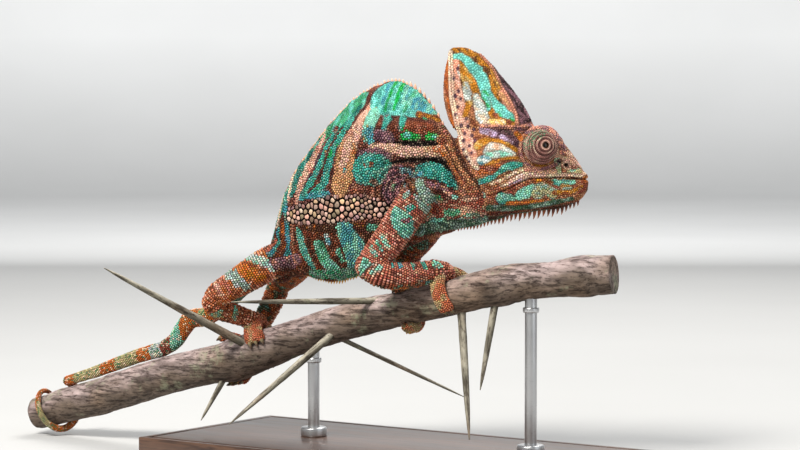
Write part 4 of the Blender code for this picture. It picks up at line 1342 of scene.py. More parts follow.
CASQUE_SPOTS: Path = (
    (23.6, 201), (21.6, 196), (24.4, 190), (23.8, 182), (23.2, 178.4), (28.6, 176.4), (26, 173), (29.5, 172.4),
    (27.8, 169), (31.5, 168), (27.6, 165.4), (33, 165.6), (28, 161), (30.8, 163), (29.8, 157.4), (32, 159.6),
    (31.2, 155.2), (25.6, 186), (22.6, 187.6), (32.4, 171),
)
# marks of the legs, placed in (distance from the leg's root, angle round it / 8)
FORELEG_MARKS = (
    Mark(Hue.SAGE, ((12.6, -5), (14.6, -10.4)), (2.6, 3), Hue.MIST, 0.45),
    Mark(Hue.SAGE, ((12.4, 0.2), (16.8, 0.9)), (1.2,), Hue.MIST, 0.45, 0.4),
    Mark(Hue.TEAL, ((18.4, -4.6), (20.4, -4)), (1.4,), Hue.MIST, 0.3),
    Mark(Hue.PALE_TEAL, ((25, -0.5), (27, -4.5), (29, -8.5)), (3.2, 5.2, 4.2), Hue.TEAL, 0.3),
    Mark(Hue.MAUVE, ((24.5, -6.5), (26.5, -5)), (1.1,), Hue.BRICK, 0.3, 0.5),
    Mark(Hue.BRICK, ((31, 1), (33, -3)), (0.9,), Hue.SALMON, 0.3, 0.5),
    Mark(Hue.PALE_TEAL, ((38.5, -0.5), (40.5, -5)), (1.3,), Hue.CREAM, 0.4, 0.4),
    Mark(Hue.PALE_TEAL, ((42, 0), (43.6, -4.4)), (1, 0.8), Hue.SEA_GREEN, 0.35, 0.4),
    Mark(Hue.PALE_TEAL, ((46, 1), (47.4, -3.6)), (1.1,), Hue.CREAM, 0.4, 0.4),
    Mark(Hue.PALE_TEAL, ((53.4, 0), (56, -5)), (1.2,), Hue.SEA_GREEN, 0.3, 0.4),
    Mark(Hue.PALE_TEAL, ((57.6, 1), (59.6, -4)), (1.1,), Hue.CREAM, 0.4, 0.4),
    Mark(Hue.TEAL, ((64.5, -7), (65, -4)), (0.8,), Hue.PALE_TEAL, 0.5, 0.4),
    Mark(Hue.BLUE_TEAL, ((69, -7), (69, -3)), (0.9,), Hue.PALE_TEAL, 0.5, 0.4),
    Mark(Hue.TEAL, ((76, -6), (76, -2)), (0.9,), Hue.PALE_TEAL, 0.5, 0.4),
    Mark(Hue.PALE_TEAL, ((82.5, -6), (82.5, 0)), (1,), Hue.TEAL, 0.5, 0.4),
    Mark(Hue.PALE_TEAL, ((88, -5), (88, 1)), (1,), Hue.OLIVE, 0.5, 0.4),
)
HINDLEG_MARKS = (
    Mark(Hue.MIST, ((6.4, -7), (9, -2), (14, 5.5)), (1.6, 2, 1.6), Hue.PALE_TEAL, 0.5),
    Mark(Hue.ORANGE, ((13.5, -7), (17, -2), (20, 4)), (3, 4, 3), Hue.OCHRE, 0.4, 0.5),
    Mark(Hue.RUST, ((12.4, -5), (14, -1), (18.6, 5)), (0.5,), Hue.ORANGE, 0.3, 0.5),
    Mark(Hue.MIST, ((22.6, -8), (25, -1), (27, 8)), (1.8, 2.6, 2.2), Hue.SAGE, 0.6),
    Mark(Hue.SALMON, ((30.5, -6), (31.5, 4)), (1.2,), Hue.ORANGE, 0.3),
    Mark(Hue.BLUSH, ((35, -5), (36, 5)), (1, 1.3), Hue.SALMON, 0.5),
    Mark(Hue.OLIVE, ((47, -6), (49, 2)), (1.8,), Hue.PALE_TEAL, 0.5),
    Mark(Hue.PALE_TEAL, ((57, -6), (58, 3)), (1.4,), Hue.OLIVE, 0.5),
)
TAIL_BANDS = (  # where each band starts, from the hips to the tip, in world x
    (-92, Hue.MAUVE), (-99, Hue.SALMON), (-106, Hue.SAND), (-111, Hue.PALE_TEAL), (-120, Hue.ORANGE),
    (-136, Hue.OLIVE), (-139, Hue.ORANGE), (-150, Hue.PALE_TEAL), (-156.5, Hue.BRICK), (-162.5, Hue.MIST),
    (-169.5, Hue.ORANGE), (-179, Hue.OLIVE), (-193.5, Hue.ORANGE), (-204.5, Hue.OLIVE), (-223.5, Hue.ORANGE),
    (-234, Hue.OLIVE), (-240, Hue.ORANGE), (-247, Hue.OLIVE),
)


def plate_depth(spots: Spots) -> Array:
    """How far inside the edge of the flank's band of plates each place lies."""
    distance, share = off_path(spots.flat, spline(BAND_PATH, 4))
    return np.interp(share, np.linspace(0, 1, len(BAND_WIDTHS)), BAND_WIDTHS) - distance


def shoulder_arcs(spots: Spots) -> tuple[Array, Array]:
    """The waves of the folds round the shoulder, from -1 to 1, and how strong they are."""
    radius = np.linalg.norm((spots.flat - SHOULDER) * (0.9, 1), axis=1)
    waves = np.cos(2 * np.pi * (radius + noise(spots.points, 6, 8)) / 2.7)
    return waves, step_between(20, 12, radius) * step_between(2, 4, radius) * (spots.station < 8)


@dataclass
class Markings:
    """Works out the colour of any place on the animal, for the skin and the scales alike."""

    def stroke(self, colours: Array, spots: Spots, mark: Mark, ragged: Array, lumps: Array) -> None:
        """Paints one mark, with flecks where its lumps are low.

        Args:
            colours: the colours so far, which it changes.
            spots: the places.
            mark: the mark.
            ragged: noise that frays its edge.
            lumps: noise from 0 to 1 that chooses the flecks.
        """
        cover = mark.cover(spots.flat, ragged)
        if not (cover > 0).any():
            return
        blend(colours, mark.hue, cover)
        if mark.fleck is not None:
            flecks = step_between(mark.share + 0.1, mark.share - 0.04, lumps)
            blend(colours, mark.fleck, cover * flecks * 0.85)

    def body(self, spots: Spots, odd: Array | None) -> Array:
        """Colours by the marks of flank, neck and head.

        Args:
            spots: the places.
            odd: a random number per scale, or None for the skin.

        Returns:
            Linear colours.
        """
        ragged = noise(spots.points, 1.6, 3) * 0.7 + noise(spots.points, 4.5, 4) * 0.6
        lumps = 0.5 + (0.625 if odd is None else 0.5) * noise(self.grain_of(spots), 1, 6)
        if odd is not None:
            lumps += 0.24 * (odd - 0.5)
        colours = tiled(Hue.RUST.linear, len(spots.points))
        blend(colours, Hue.MAROON, 0.25 + 0.5 * step_between(-0.3, 0.3, noise(spots.points, 3.5, 33)))
        chest = step_between(2, 14, spots.station)
        low = step_between(127, 121, spots.height) * (spots.station < 0)
        blend(colours, Hue.TAN, 0.8 * chest)
        blend(colours, Hue.UMBER, 0.5 * low)
        if odd is not None:
            flow = noise(self.grain_of(spots), 1, 44) + 0.25 * (odd - 0.5)
            blend(colours, Hue.PINK, step_between(0.08, 0.3, flow) * (0.25 + 0.4 * chest))
            blend(colours, Hue.OCHRE, (odd < 0.14) * low * 0.9)
        for mark in BODY_MARKS:
            blend(colours, Hue.MAROON, mark.cover(spots.flat, ragged, 1.0) * 0.75)
        for mark in BODY_MARKS:
            self.stroke(colours, spots, mark, ragged, lumps)
        self.rings(colours, spots)
        self.band(colours, spots, odd)
        face = tiled(Hue.TAN.linear, len(spots.points))
        for mark in HEAD_MARKS:
            blend(face, Hue.UMBER, mark.cover(spots.flat, ragged, 0.5) * 0.55)
            self.stroke(face, spots, mark, ragged, lumps)
        for spot in CASQUE_SPOTS:
            gap = np.linalg.norm((spots.flat - spot) * (1.1, 0.9), axis=1) + 0.3 * ragged
            blend(face, Hue.PLUM, step_between(1.25, 0.6, gap))
        colours[spots.on_head] = face[spots.on_head]
        return colours

    @staticmethod
    def grain_of(spots: Spots) -> Array:
        """Coordinates for streaks: upright on the flank, level on the face, along the casque's stripes.

        Args:
            spots: the places.

        Returns:
            Coordinates for noise, with lumps about 1 across.
        """
        station, height = spots.station, spots.height
        along = np.where(height > CROWN_HEIGHT, (station - height) * 0.71, station)
        across = np.where(height > CROWN_HEIGHT, (station + height) * 0.71, height)
        face = spots.on_head | ((station > 12) & (height < 140))
        first = np.where(face, along / 3.4, station / 1.3)
        second = np.where(face, across / 1.25, height / 3.2)
        return np.column_stack([first, spots.offset / 3, second])

    def rings(self, colours: Array, spots: Spots) -> None:
        """Dark folds in rings round the shoulder."""
        arcs, fade = shoulder_arcs(spots)
        wave = 0.5 + 0.5 * arcs
        blend(colours, Hue.SOOT, fade * step_between(0.55, 0.95, wave) * 0.8)
        blend(colours, Hue.PINK, fade * step_between(0.6, 0.1, wave) * 0.25)

    def band(self, colours: Array, spots: Spots, odd: Array | None) -> None:
        """Large pale plates on black along the flank.

        Args:
            colours: the colours so far, which it changes.
            spots: the places.
            odd: a random number per scale, or None for the skin.
        """
        depth = plate_depth(spots)
        cover = step_between(-0.6, 0.6, depth + noise(spots.points, 3, 9))
        if odd is None:
            blend(colours, Hue.SOOT, cover)
            return
        plates = tiled(Hue.MAUVE.linear, len(depth))
        blend(plates, Hue.BEIGE.linear * 0.6 + Hue.CREAM.linear * 0.3, 0.35 + 0.5 * step_between(0, 3, depth))
        blend(colours, plates * (0.6 + 0.5 * odd)[:, None], cover)

    def legs(self, spots: Spots, odd: Array | None) -> Array:
        """Salmon legs with brick rows, green groups and a beaded underside.

        Args:
            spots: the places.
            odd: a random number per scale, or None for the skin.

        Returns:
            Linear colours.
        """
        flat = np.column_stack([spots.along, spots.turn / 8])
        colours = tiled(Hue.SALMON.linear, len(flat))
        chosen = np.full(len(flat), 0.5) if odd is None else odd
        wander = noise(spots.points, 5, 17)
        rows = 0.5 + 0.5 * np.sin(2 * np.pi * (spots.along + 0.8 * wander) / 2.7)
        hind = spots.leg >= 2
        brick = 0.25 + 0.25 * step_between(0.4, 0.9, rows) + 0.3 * wander
        blend(colours, Hue.BRICK, brick * np.where(hind, 0.5, 1))
        blend(colours, Hue.ORANGE, hind * (0.65 + 0.4 * wander))
        blend(colours, Hue.PINK, (chosen > 0.6) * 0.5)
        blend(colours, Hue.CREAM, (chosen > 0.92) * 0.4)
        blend(colours, Hue.MAROON, (chosen < 0.14) * 0.6)
        creases = 0.5 + 0.5 * np.cos(2 * np.pi * (spots.along + noise(spots.points, 6, 8)) / 2.6)
        creases = step_between(20, 14, spots.along) * step_between(0.5, 0.9, creases)
        blend(colours, Hue.SOOT, creases * 0.7 * ~hind)
        ragged = noise(spots.points, 1.5, 18) * 0.8
        for marks, mine in ((FORELEG_MARKS, ~hind), (HINDLEG_MARKS, hind)):
            for mark in marks:
                cover = mark.cover(flat, ragged) * mine
                blend(colours, mark.hue, cover)
                blend(colours, mark.fleck, cover * (chosen < mark.share) * 0.8)
        under = step_between(38, 80, spots.turn) + step_between(-95, -125, spots.turn)
        lumps = noise(spots.points, 2.4, 19)
        blend(colours, Hue.RUST, under * 0.75)
        blend(colours, Hue.BOTTLE_GREEN, under * step_between(0.0, 0.25, lumps) * 0.85)
        blend(colours, Hue.PALE_TEAL, under * step_between(0.2, 0.4, lumps) * (chosen < 0.4) * 0.7)
        blend(colours, Hue.ORANGE, under * step_between(-0.15, -0.35, lumps) * 0.7)
        return colours

    def feet(self, spots: Spots, odd: Array | None) -> Array:
        """Orange-salmon digits with pale green-cream patches.

        Args:
            spots: the places.
            odd: not used, as here skin and scales are alike.

        Returns:
            Linear colours.
        """
        colours = tiled(Hue.SALMON.linear * 0.6 + Hue.ORANGE.linear * 0.4, len(spots.points))
        lumps = noise(spots.points, 4, 14)
        blend(colours, Hue.OLIVE, step_between(0.1, 0.4, lumps) * 0.75)
        blend(colours, Hue.RUST, step_between(-0.2, -0.6, lumps) * 0.5)
        return colours

    def tail(self, spots: Spots, odd: Array | None) -> Array:
        """Alternating bands of orange and olive, darker below.

        Args:
            spots: the places.
            odd: a random number per scale, or None for the skin.

        Returns:
            Linear colours.
        """
        starts = np.array([start for start, _ in TAIL_BANDS], float)
        hues = np.array([hue.linear for _, hue in TAIL_BANDS])
        place = spots.points[:, 0] + 1.1 * noise(spots.points, 2.2, 15)
        number = np.clip(np.searchsorted(-starts, -place, side="right") - 1, 0, len(starts) - 1)
        colours = hues[number].copy()
        chosen = np.full(len(place), 0.5) if odd is None else odd
        blend(colours, Hue.SEA_GREEN, (chosen < 0.14) * 0.8)
        blend(colours, Hue.CREAM, (chosen > 0.86) * 0.6)
        blend(colours, Hue.RUST, step_between(60, 130, abs(spots.turn)) * 0.65)
        return colours

    def colours(self, spots: Spots, odd: Array | None = None) -> Array:
        """Linear colours of places on the animal.

        Args:
            spots: the places.
            odd: a random number from 0 to 1 per scale, or None for the skin between them.

        Returns:
            One row of red, green and blue per place.
        """
        made = self.body(spots, odd)
        for part, way in ((Part.LEG, self.legs), (Part.FOOT, self.feet), (Part.TAIL, self.tail)):
            mine = spots.of(part)
            made[mine] = way(spots, odd)[mine]
        shade = 1 + 0.14 * noise(spots.points, 0.9, 21) + 0.14 * noise(spots.points, 7, 22)
        streaks = noise(self.grain_of(spots) * 0.8, 1, 23)
        shade += 0.33 * streaks * spots.of(Part.BODY)
        if odd is not None:
            shade *= 0.7 + 0.56 * odd
            tint = np.column_stack([np.modf(odd * turn)[0] for turn in (17.3, 61.7, 97.1)])
            rough = np.where(Coat.smooth(spots), 0.35, 1)
            made *= 1 + (0.28 * tint - 0.14) * rough[:, None]
            # painted highlights: cream on about a fifth of the scales, weaker where they lie flat
            blend(made, Hue.CREAM, (np.modf(odd * 7.9)[0] > 0.8) * 0.13 * rough)
        return np.clip(made * shade[:, None], 0.002, 1)


# ---------------------------------------------------------------- relief of the skin


@dataclass(frozen=True)
class Crease:
    """A ridge, or a groove where its height is negative, along a line in (station, height)."""

    path: Path
    width: float
    height: float

    def rise(self, flat: Array) -> Array:
        """How far it lifts each point."""
        distance, _ = off_path(flat, path_line(self.path, 5))
        return self.height * np.exp(-((distance / self.width) ** 2))


HEAD_RELIEF = (
    Crease(MOUTH, 0.75, -1.1),
    Crease(shifted(MOUTH, 0, 1.7), 1, 0.45),
    Crease(shifted(MOUTH, 0, -1.8), 1, 0.25),
    Crease(RIM, 1.1, 1.0),
    Crease(shifted(RIM[:5], -2.6, 0), 1.4, -0.6),
    Crease(shifted(RIM[4:], -2.4, -0.6), 1.3, -1.6),
    Crease(((37, 172.4), (48, 172.6), (60, 172.2)), 0.9, 0.8),
    Crease(((53.8, 174), *RIDGE), 0.8, 0.6),
    Crease(((43, 167), (53, 165.5)), 4, -1),
    Crease(((71.5, 166), (78, 160), (84.5, 152.6)), 1, 0.45),
    Crease(((40, 158), (52, 160)), 3.5, 0.5),
    Crease(((37, 147.4), (46.5, 150), (56, 155.6)), 1.2, 0.35),
    Crease(((44, 165.4), (53.5, 161.6)), 0.8, 0.4),
    Crease(((75.9, 154.6), (77.4, 155)), 1.2, 0.4),
    Crease(((77, 153.8), (77.4, 153.6)), 0.8, -1.3),
    Crease(((46, 187), (40, 180), (36, 170)), 3.5, -0.5),
)
BODY_RELIEF = (
    Crease(((-12, 164.6), (0, 164.4), (10, 164), (19, 164.4)), 1.3, -1.7),
    Crease(((-12, 161.8), (0, 159.8), (10, 159.6), (18, 160.2)), 2.2, 0.9),
    Crease(((-9, 153.8), (0, 155.2), (9, 155.9), (17, 155), (23, 150.6), (27, 145)), 1.4, -1.8),
    Crease(((6, 151), (14, 150), (22, 145)), 3, 0.7),
    Crease(((20, 162), (27, 150), (34, 141)), 2, 0.5),
    Crease(((10, 131), (24, 133), (36, 136)), 1.2, -0.7),
    Crease(((-66, 134), (-40, 139), (-12, 138)), 1.1, -0.35),
    Crease(((-66, 121.5), (-40, 124.2), (-12, 124.6)), 1.1, -0.35),
)


@dataclass
class Skin:
    """One skin over the animal's flesh, with its folds, ridges, mouth line and nostrils.

    Attributes:
        anatomy: the animal's forms.
        voxel: size of the remeshing grid.
        passes: smoothing rounds of the body, and of feet and tail.
        depth: how far it lies inside the solids, for the scales on it.
    """

    anatomy: Anatomy
    voxel: float = 0.85
    passes: tuple[int, int] = (14, 4)
    depth: float = 0.3
    # (radius, half width, lift, height that it ends at)
    eye_rings: Rows = (
        (9.6, 0.8, 0.75, 300), (8.2, 0.7, -0.9, 300), (10.9, 0.6, -0.4, 300), (12, 0.7, 0.35, 160),
    )
    obj: Piece | None = None

    def brows(self) -> list[Piece]:
        """The swellings round the eyes.

        Returns:
            One ball for each eye.
        """
        form, made = self.anatomy.form, []
        ahead, out, above = form.brow_place
        for side in (-1, 1):
            centre = self.anatomy.plan.place(Eye.station + ahead, side * out, Eye.height + above)[0]
            bpy.ops.mesh.primitive_uv_sphere_add(
                segments=40, ring_count=24, radius=form.brow_radius * MM, location=Vector(centre) * MM
            )
            bpy.ops.object.transform_apply()
            made.append(bpy.context.object)
        return made

    def fuse(self) -> None:
        """Melts the overlapping forms into one closed mesh."""
        anatomy = self.anatomy
        pieces = anatomy.form.lofts(anatomy.plan) + anatomy.legs.lofts(anatomy.branch)
        pieces += [tube("tail_tube", domed(anatomy.tail_line, start=False), 20), *self.brows()]
        self.obj = joined("skin", pieces)
        apply_modifier(self.obj, "REMESH", mode="VOXEL", voxel_size=self.voxel * MM)

    def soften(self) -> None:
        """Smooths away the grid's steps, least on feet and tail."""
        points = points_of(self.obj)
        edges = np.empty(len(self.obj.data.edges) * 2, np.int32)
        self.obj.data.edges.foreach_get("vertices", edges)
        first, second = edges.reshape(-1, 2).T
        count = np.bincount(np.concatenate([first, second]), minlength=len(points))
        spots = self.anatomy.measure(points)
        slim = spots.of(Part.FOOT) | spots.of(Part.TAIL) | (spots.height > 205)
        for number in range(self.passes[0]):
            held = slim & (number >= self.passes[1])
            for factor in (0.5, -0.52):
                sums = [
                    np.bincount(one, points[other, axis], len(points))
                    for axis in range(3) for one, other in ((first, second), (second, first))
                ]
                mean = np.column_stack([a + b for a, b in zip(sums[::2], sums[1::2])]) / count[:, None]
                points += np.where(held[:, None], 0, factor) * (mean - points)
        move_points(self.obj, points)

    def relief(self, spots: Spots) -> Array:
        """How far folds and ridges lift each point.

        Args:
            spots: the places.

        Returns:
            The lift of each point.
        """
        flat, station, height = spots.flat, spots.station, spots.height
        body = spots.of(Part.BODY).astype(float)
        rise = np.zeros(len(flat))
        for crease in (*HEAD_RELIEF, *BODY_RELIEF):
            rise += crease.rise(flat) * body
        eye = spots.apart(Eye.station, Eye.height)
        for radius, width, lift, top in self.eye_rings:
            rise += lift * body * (height < top) * np.exp(-(((eye - radius) / width) ** 2))
        pleats = np.sin(2 * np.pi * (height - 0.1 * station) / 2.3)
        throat = step_between(139, 133, height) * step_between(12, 24, station)
        throat *= step_between(84, 74, station)
        rise += 0.28 * pleats * throat * body
        arcs, fade = shoulder_arcs(spots)
        rise += 0.4 * arcs * fade * body
        ribs = np.sin(2 * np.pi * (station + 0.4 * (height - 150)) / 8.5)
        flank = step_between(-86, -70, station) * step_between(-6, -20, station)
        rise += body * flank * (0.22 * ribs + 0.25 * noise(spots.points, 7, 31))
        rise += 0.12 * noise(spots.points, 3, 32)
        legs = spots.of(Part.LEG)
        rise[legs] += 0.18 * np.sin(2 * np.pi * spots.along[legs] / 3.1)
        return rise

    def emboss(self) -> None:
        """Lifts the relief along the normals, and sinks the skin by the scales' depth."""
        points, normals = points_of(self.obj), normals_of(self.obj)
        rise = self.relief(self.anatomy.measure(points)) - self.depth
        move_points(self.obj, points + normals * rise[:, None])

    def build(self, markings: Markings, finish: PaintedFinish) -> Piece:
        """Makes and dresses the skin.

        Args:
            markings: its colours.
            finish: its material.

        Returns:
            The dressed skin.
        """
        self.fuse()
        self.soften()
        self.emboss()
        spots = self.anatomy.measure(points_of(self.obj))
        # painted shade between the scales: the skin is painted at a quarter to two thirds of the markings'
        # colour, lightest where scales lie flat and on the head
        share = 0.24 + 0.3 * Coat.smooth(spots) + 0.1 * spots.on_head
        paint(self.obj, markings.colours(spots) * share[:, None])
        self.obj.data.shade_smooth()
        sides = [f"{name}_{side}" for name in LEG_NODES for side in ("left", "right")]
        return dress(self.obj, finish, "skin", *BODY_NODES, *TAIL_NODES, *sides)


# ---------------------------------------------------------------- scales


@dataclass(frozen=True)
class ScaleRow:
    """A row of scales along a line in (station, height), the same on both sides."""

    path: Path
    spacing: float
    lift: float = 0.5


SPOTTED_STRIP: Path = ((59, 175), (53.5, 188.5), (43, 203), (36, 210))
TAIL_SIZES = ((0, 150, 230, 290), (1.25, 1.12, 0.9, 0.65))  # distances along the tail, and the scales' sizes
HEAD_ROWS = (
    ScaleRow(shifted(MOUTH[1:], 0, 1.25), 1.3),
    ScaleRow(shifted(MOUTH[1:], 0, -1.25), 1.35),
    ScaleRow(RIM, 1.35, 0.6),
    ScaleRow(((37, 172.5), (48, 172.7), (58, 172.3)), 1.4, 0.6),
    ScaleRow(((53.6, 174.4), *RIDGE), 1.3, 0.6),
    ScaleRow(((71.6, 166), (78, 160), (84.5, 152.8)), 1.2, 0.55),
)


@dataclass
class Roots:
    """Where scales stand on the skin, the direction out of it, each one's size and its neighbours."""

    points: Array
    normals: Array
    sizes: Array
    lifts: Array
    near_points: Array | None = None
    near_sizes: Array | None = None
    fills: Array | None = None

    def part_of(self, chosen: Array) -> Roots:
        """Some of the scales, with the neighbours that they had.

        Args:
            chosen: which scales.

        Returns:
            Those scales.
        """
        known = self.near_points is not None
        return Roots(
            self.points[chosen], self.normals[chosen], self.sizes[chosen], self.lifts[chosen],
            self.near_points[chosen] if known else None, self.near_sizes[chosen] if known else None,
            None if self.fills is None else self.fills[chosen],
        )

    def meet(self, count: int) -> None:
        """Notes each scale's nearest neighbours."""
        near = nearest(self.points, count)
        self.near_points, self.near_sizes = self.points[near], self.sizes[near]


def nearest(points: Array, count: int) -> Array:
    """Numbers of the nearest other points of each point."""
    tree = tree_of(points)
    return np.array([[found[1] for found in tree.find_n(point, count + 1)[1:]] for point in points.tolist()])


@dataclass(frozen=True)
class Dome:
    """The shape of one scale: a closed cushion on a polygon that fits between its neighbours."""

    sides: int = 6
    fill: float = 0.92
    sink: float = 0.14
    shoulder: tuple[float, float] = (0.8, 0.68)
    # painted light: colour factors at each scale's foot, shoulder and top, giving painted shade at the foot
    # and a painted highlight higher up
    painted_light_tones: tuple[float, float, float] = (0.1, 0.86, 1.14)

    def reaches(self, roots: Roots, turns: Array, first: Array, second: Array) -> Array:
        """How far each scale reaches in each direction before it meets a neighbour.

        Args:
            roots: the scales.
            turns: the angles of their corners.
            first: where each one's angles start.
            second: the direction at a right angle to that.

        Returns:
            Distances, one row per scale.
        """
        gaps = roots.near_points - roots.points[:, None]
        flat = np.stack([(gaps * first[:, None]).sum(-1), (gaps * second[:, None]).sum(-1)], axis=-1)
        share = roots.sizes[:, None] / (roots.sizes[:, None] + roots.near_sizes)
        square = (flat**2).sum(-1) * share
        ways = np.stack([np.cos(turns), np.sin(turns)], axis=-1)
        ahead = np.einsum("nkc,nmc->nkm", flat, ways)
        reach = np.where(ahead > 0.05, square[..., None] / np.maximum(ahead, 0.05), np.inf).min(axis=1)
        return np.minimum(reach, 0.7 * roots.sizes[:, None])

    def build(self, name: str, roots: Roots, colours: Array, seed: int = 1) -> Piece:
        """One mesh of many scales.

        Args:
            name: the object's name.
            roots: where the scales stand.
            colours: each scale's linear colour.
            seed: seed of the turns of the polygons.

        Returns:
            The joined scales, with their colours, painted shade and highlight included, in the attribute
            "markings".
        """
        count, sides = len(roots.points), self.sides
        rng = np.random.default_rng(seed)
        turns = rng.uniform(0, 2 * np.pi, (count, 1)) + 2 * np.pi * np.arange(sides) / sides
        helper = np.where(abs(roots.normals[:, 2:]) < 0.8, (0.0, 0.0, 1.0), (1.0, 0.0, 0.0))
        first = unit(np.cross(helper, roots.normals))
        second = np.cross(roots.normals, first)
        fill = self.fill if roots.fills is None else roots.fills[:, None]
        reach = self.reaches(roots, turns, first, second) * fill
        edge = rays(turns, first, second) * reach[..., None]
        height = (roots.lifts * reach.mean(axis=1))[:, None, None] * 2 * roots.normals[:, None]
        centre = roots.points[:, None]
        narrow, rise = self.shoulder
        rings = np.concatenate([
            centre + edge - self.sink * roots.normals[:, None],
            centre + edge * narrow + height * rise,
            centre + height,
        ], axis=1)
        low = np.arange(sides)
        after = (low + 1) % sides
        wall = np.concatenate([
            np.column_stack([low, after, after + sides]), np.column_stack([low, after + sides, low + sides])
        ])
        cap = np.column_stack([low + sides, after + sides, np.full(sides, 2 * sides)])
        floor = np.array([(0, k + 1, k) for k in range(1, sides - 1)])
        pattern = np.vstack([wall, cap, floor])
        faces = (pattern[None] + (np.arange(count) * (2 * sides + 1))[:, None, None]).reshape(-1, 3)
        obj = mesh_from(name, rings.reshape(-1, 3), faces)
        # the scales' colours take the painted shade at their feet and the painted highlight higher up
        paint(obj, np.repeat(colours, self.points, axis=0) * self.shading(count))
        return obj

    @property
    def points(self) -> int:
        """Points of one scale."""
        return 2 * self.sides + 1

    def shading(self, count: int) -> Array:
        """Painted shade at the feet and a painted highlight on the tops, as colour factors for the points of
        many scales.
        """
        return np.tile(np.repeat(self.painted_light_tones, (self.sides, self.sides, 1)), count)[:, None]

    @property
    def corners(self) -> int:
        """Face corners of one scale."""
        return 3 * (4 * self.sides - 2)


def bake_map(obj: Piece, places: Array, corners: Array, patch: float = 0.003) -> None:
    """Gives each small form its own patch in the UV map OFBake.

    Args:
        obj: the joined forms.
        places: where each form's patch lies, in 0 to 1.
        corners: how many face corners each form has.
        patch: width of a patch.
    """
    loops = np.empty(len(obj.data.loops), np.int32)
    obj.data.loops.foreach_get("vertex_index", loops)
    form = np.repeat(np.arange(len(places)), corners)
    points = points_of(obj)[loops]
    totals = np.maximum(np.bincount(form), 1)[:, None]
    middle = np.column_stack([np.bincount(form, points[:, k]) for k in range(3)]) / totals
    offset = (points - middle[form]) @ np.array(((0.8, 0.1), (0.1, -0.7), (-0.5, 0.75)))
    reach = np.full(len(places), 1e-6)
    np.maximum.at(reach, form, abs(offset).max(axis=1))
    inside = places[form] + offset / reach[form][:, None] * patch / 2
    layer = obj.data.uv_layers.new(name="OFBake")
    layer.uv.foreach_set("vector", np.clip(inside, 0, 1).astype(np.float32).ravel())


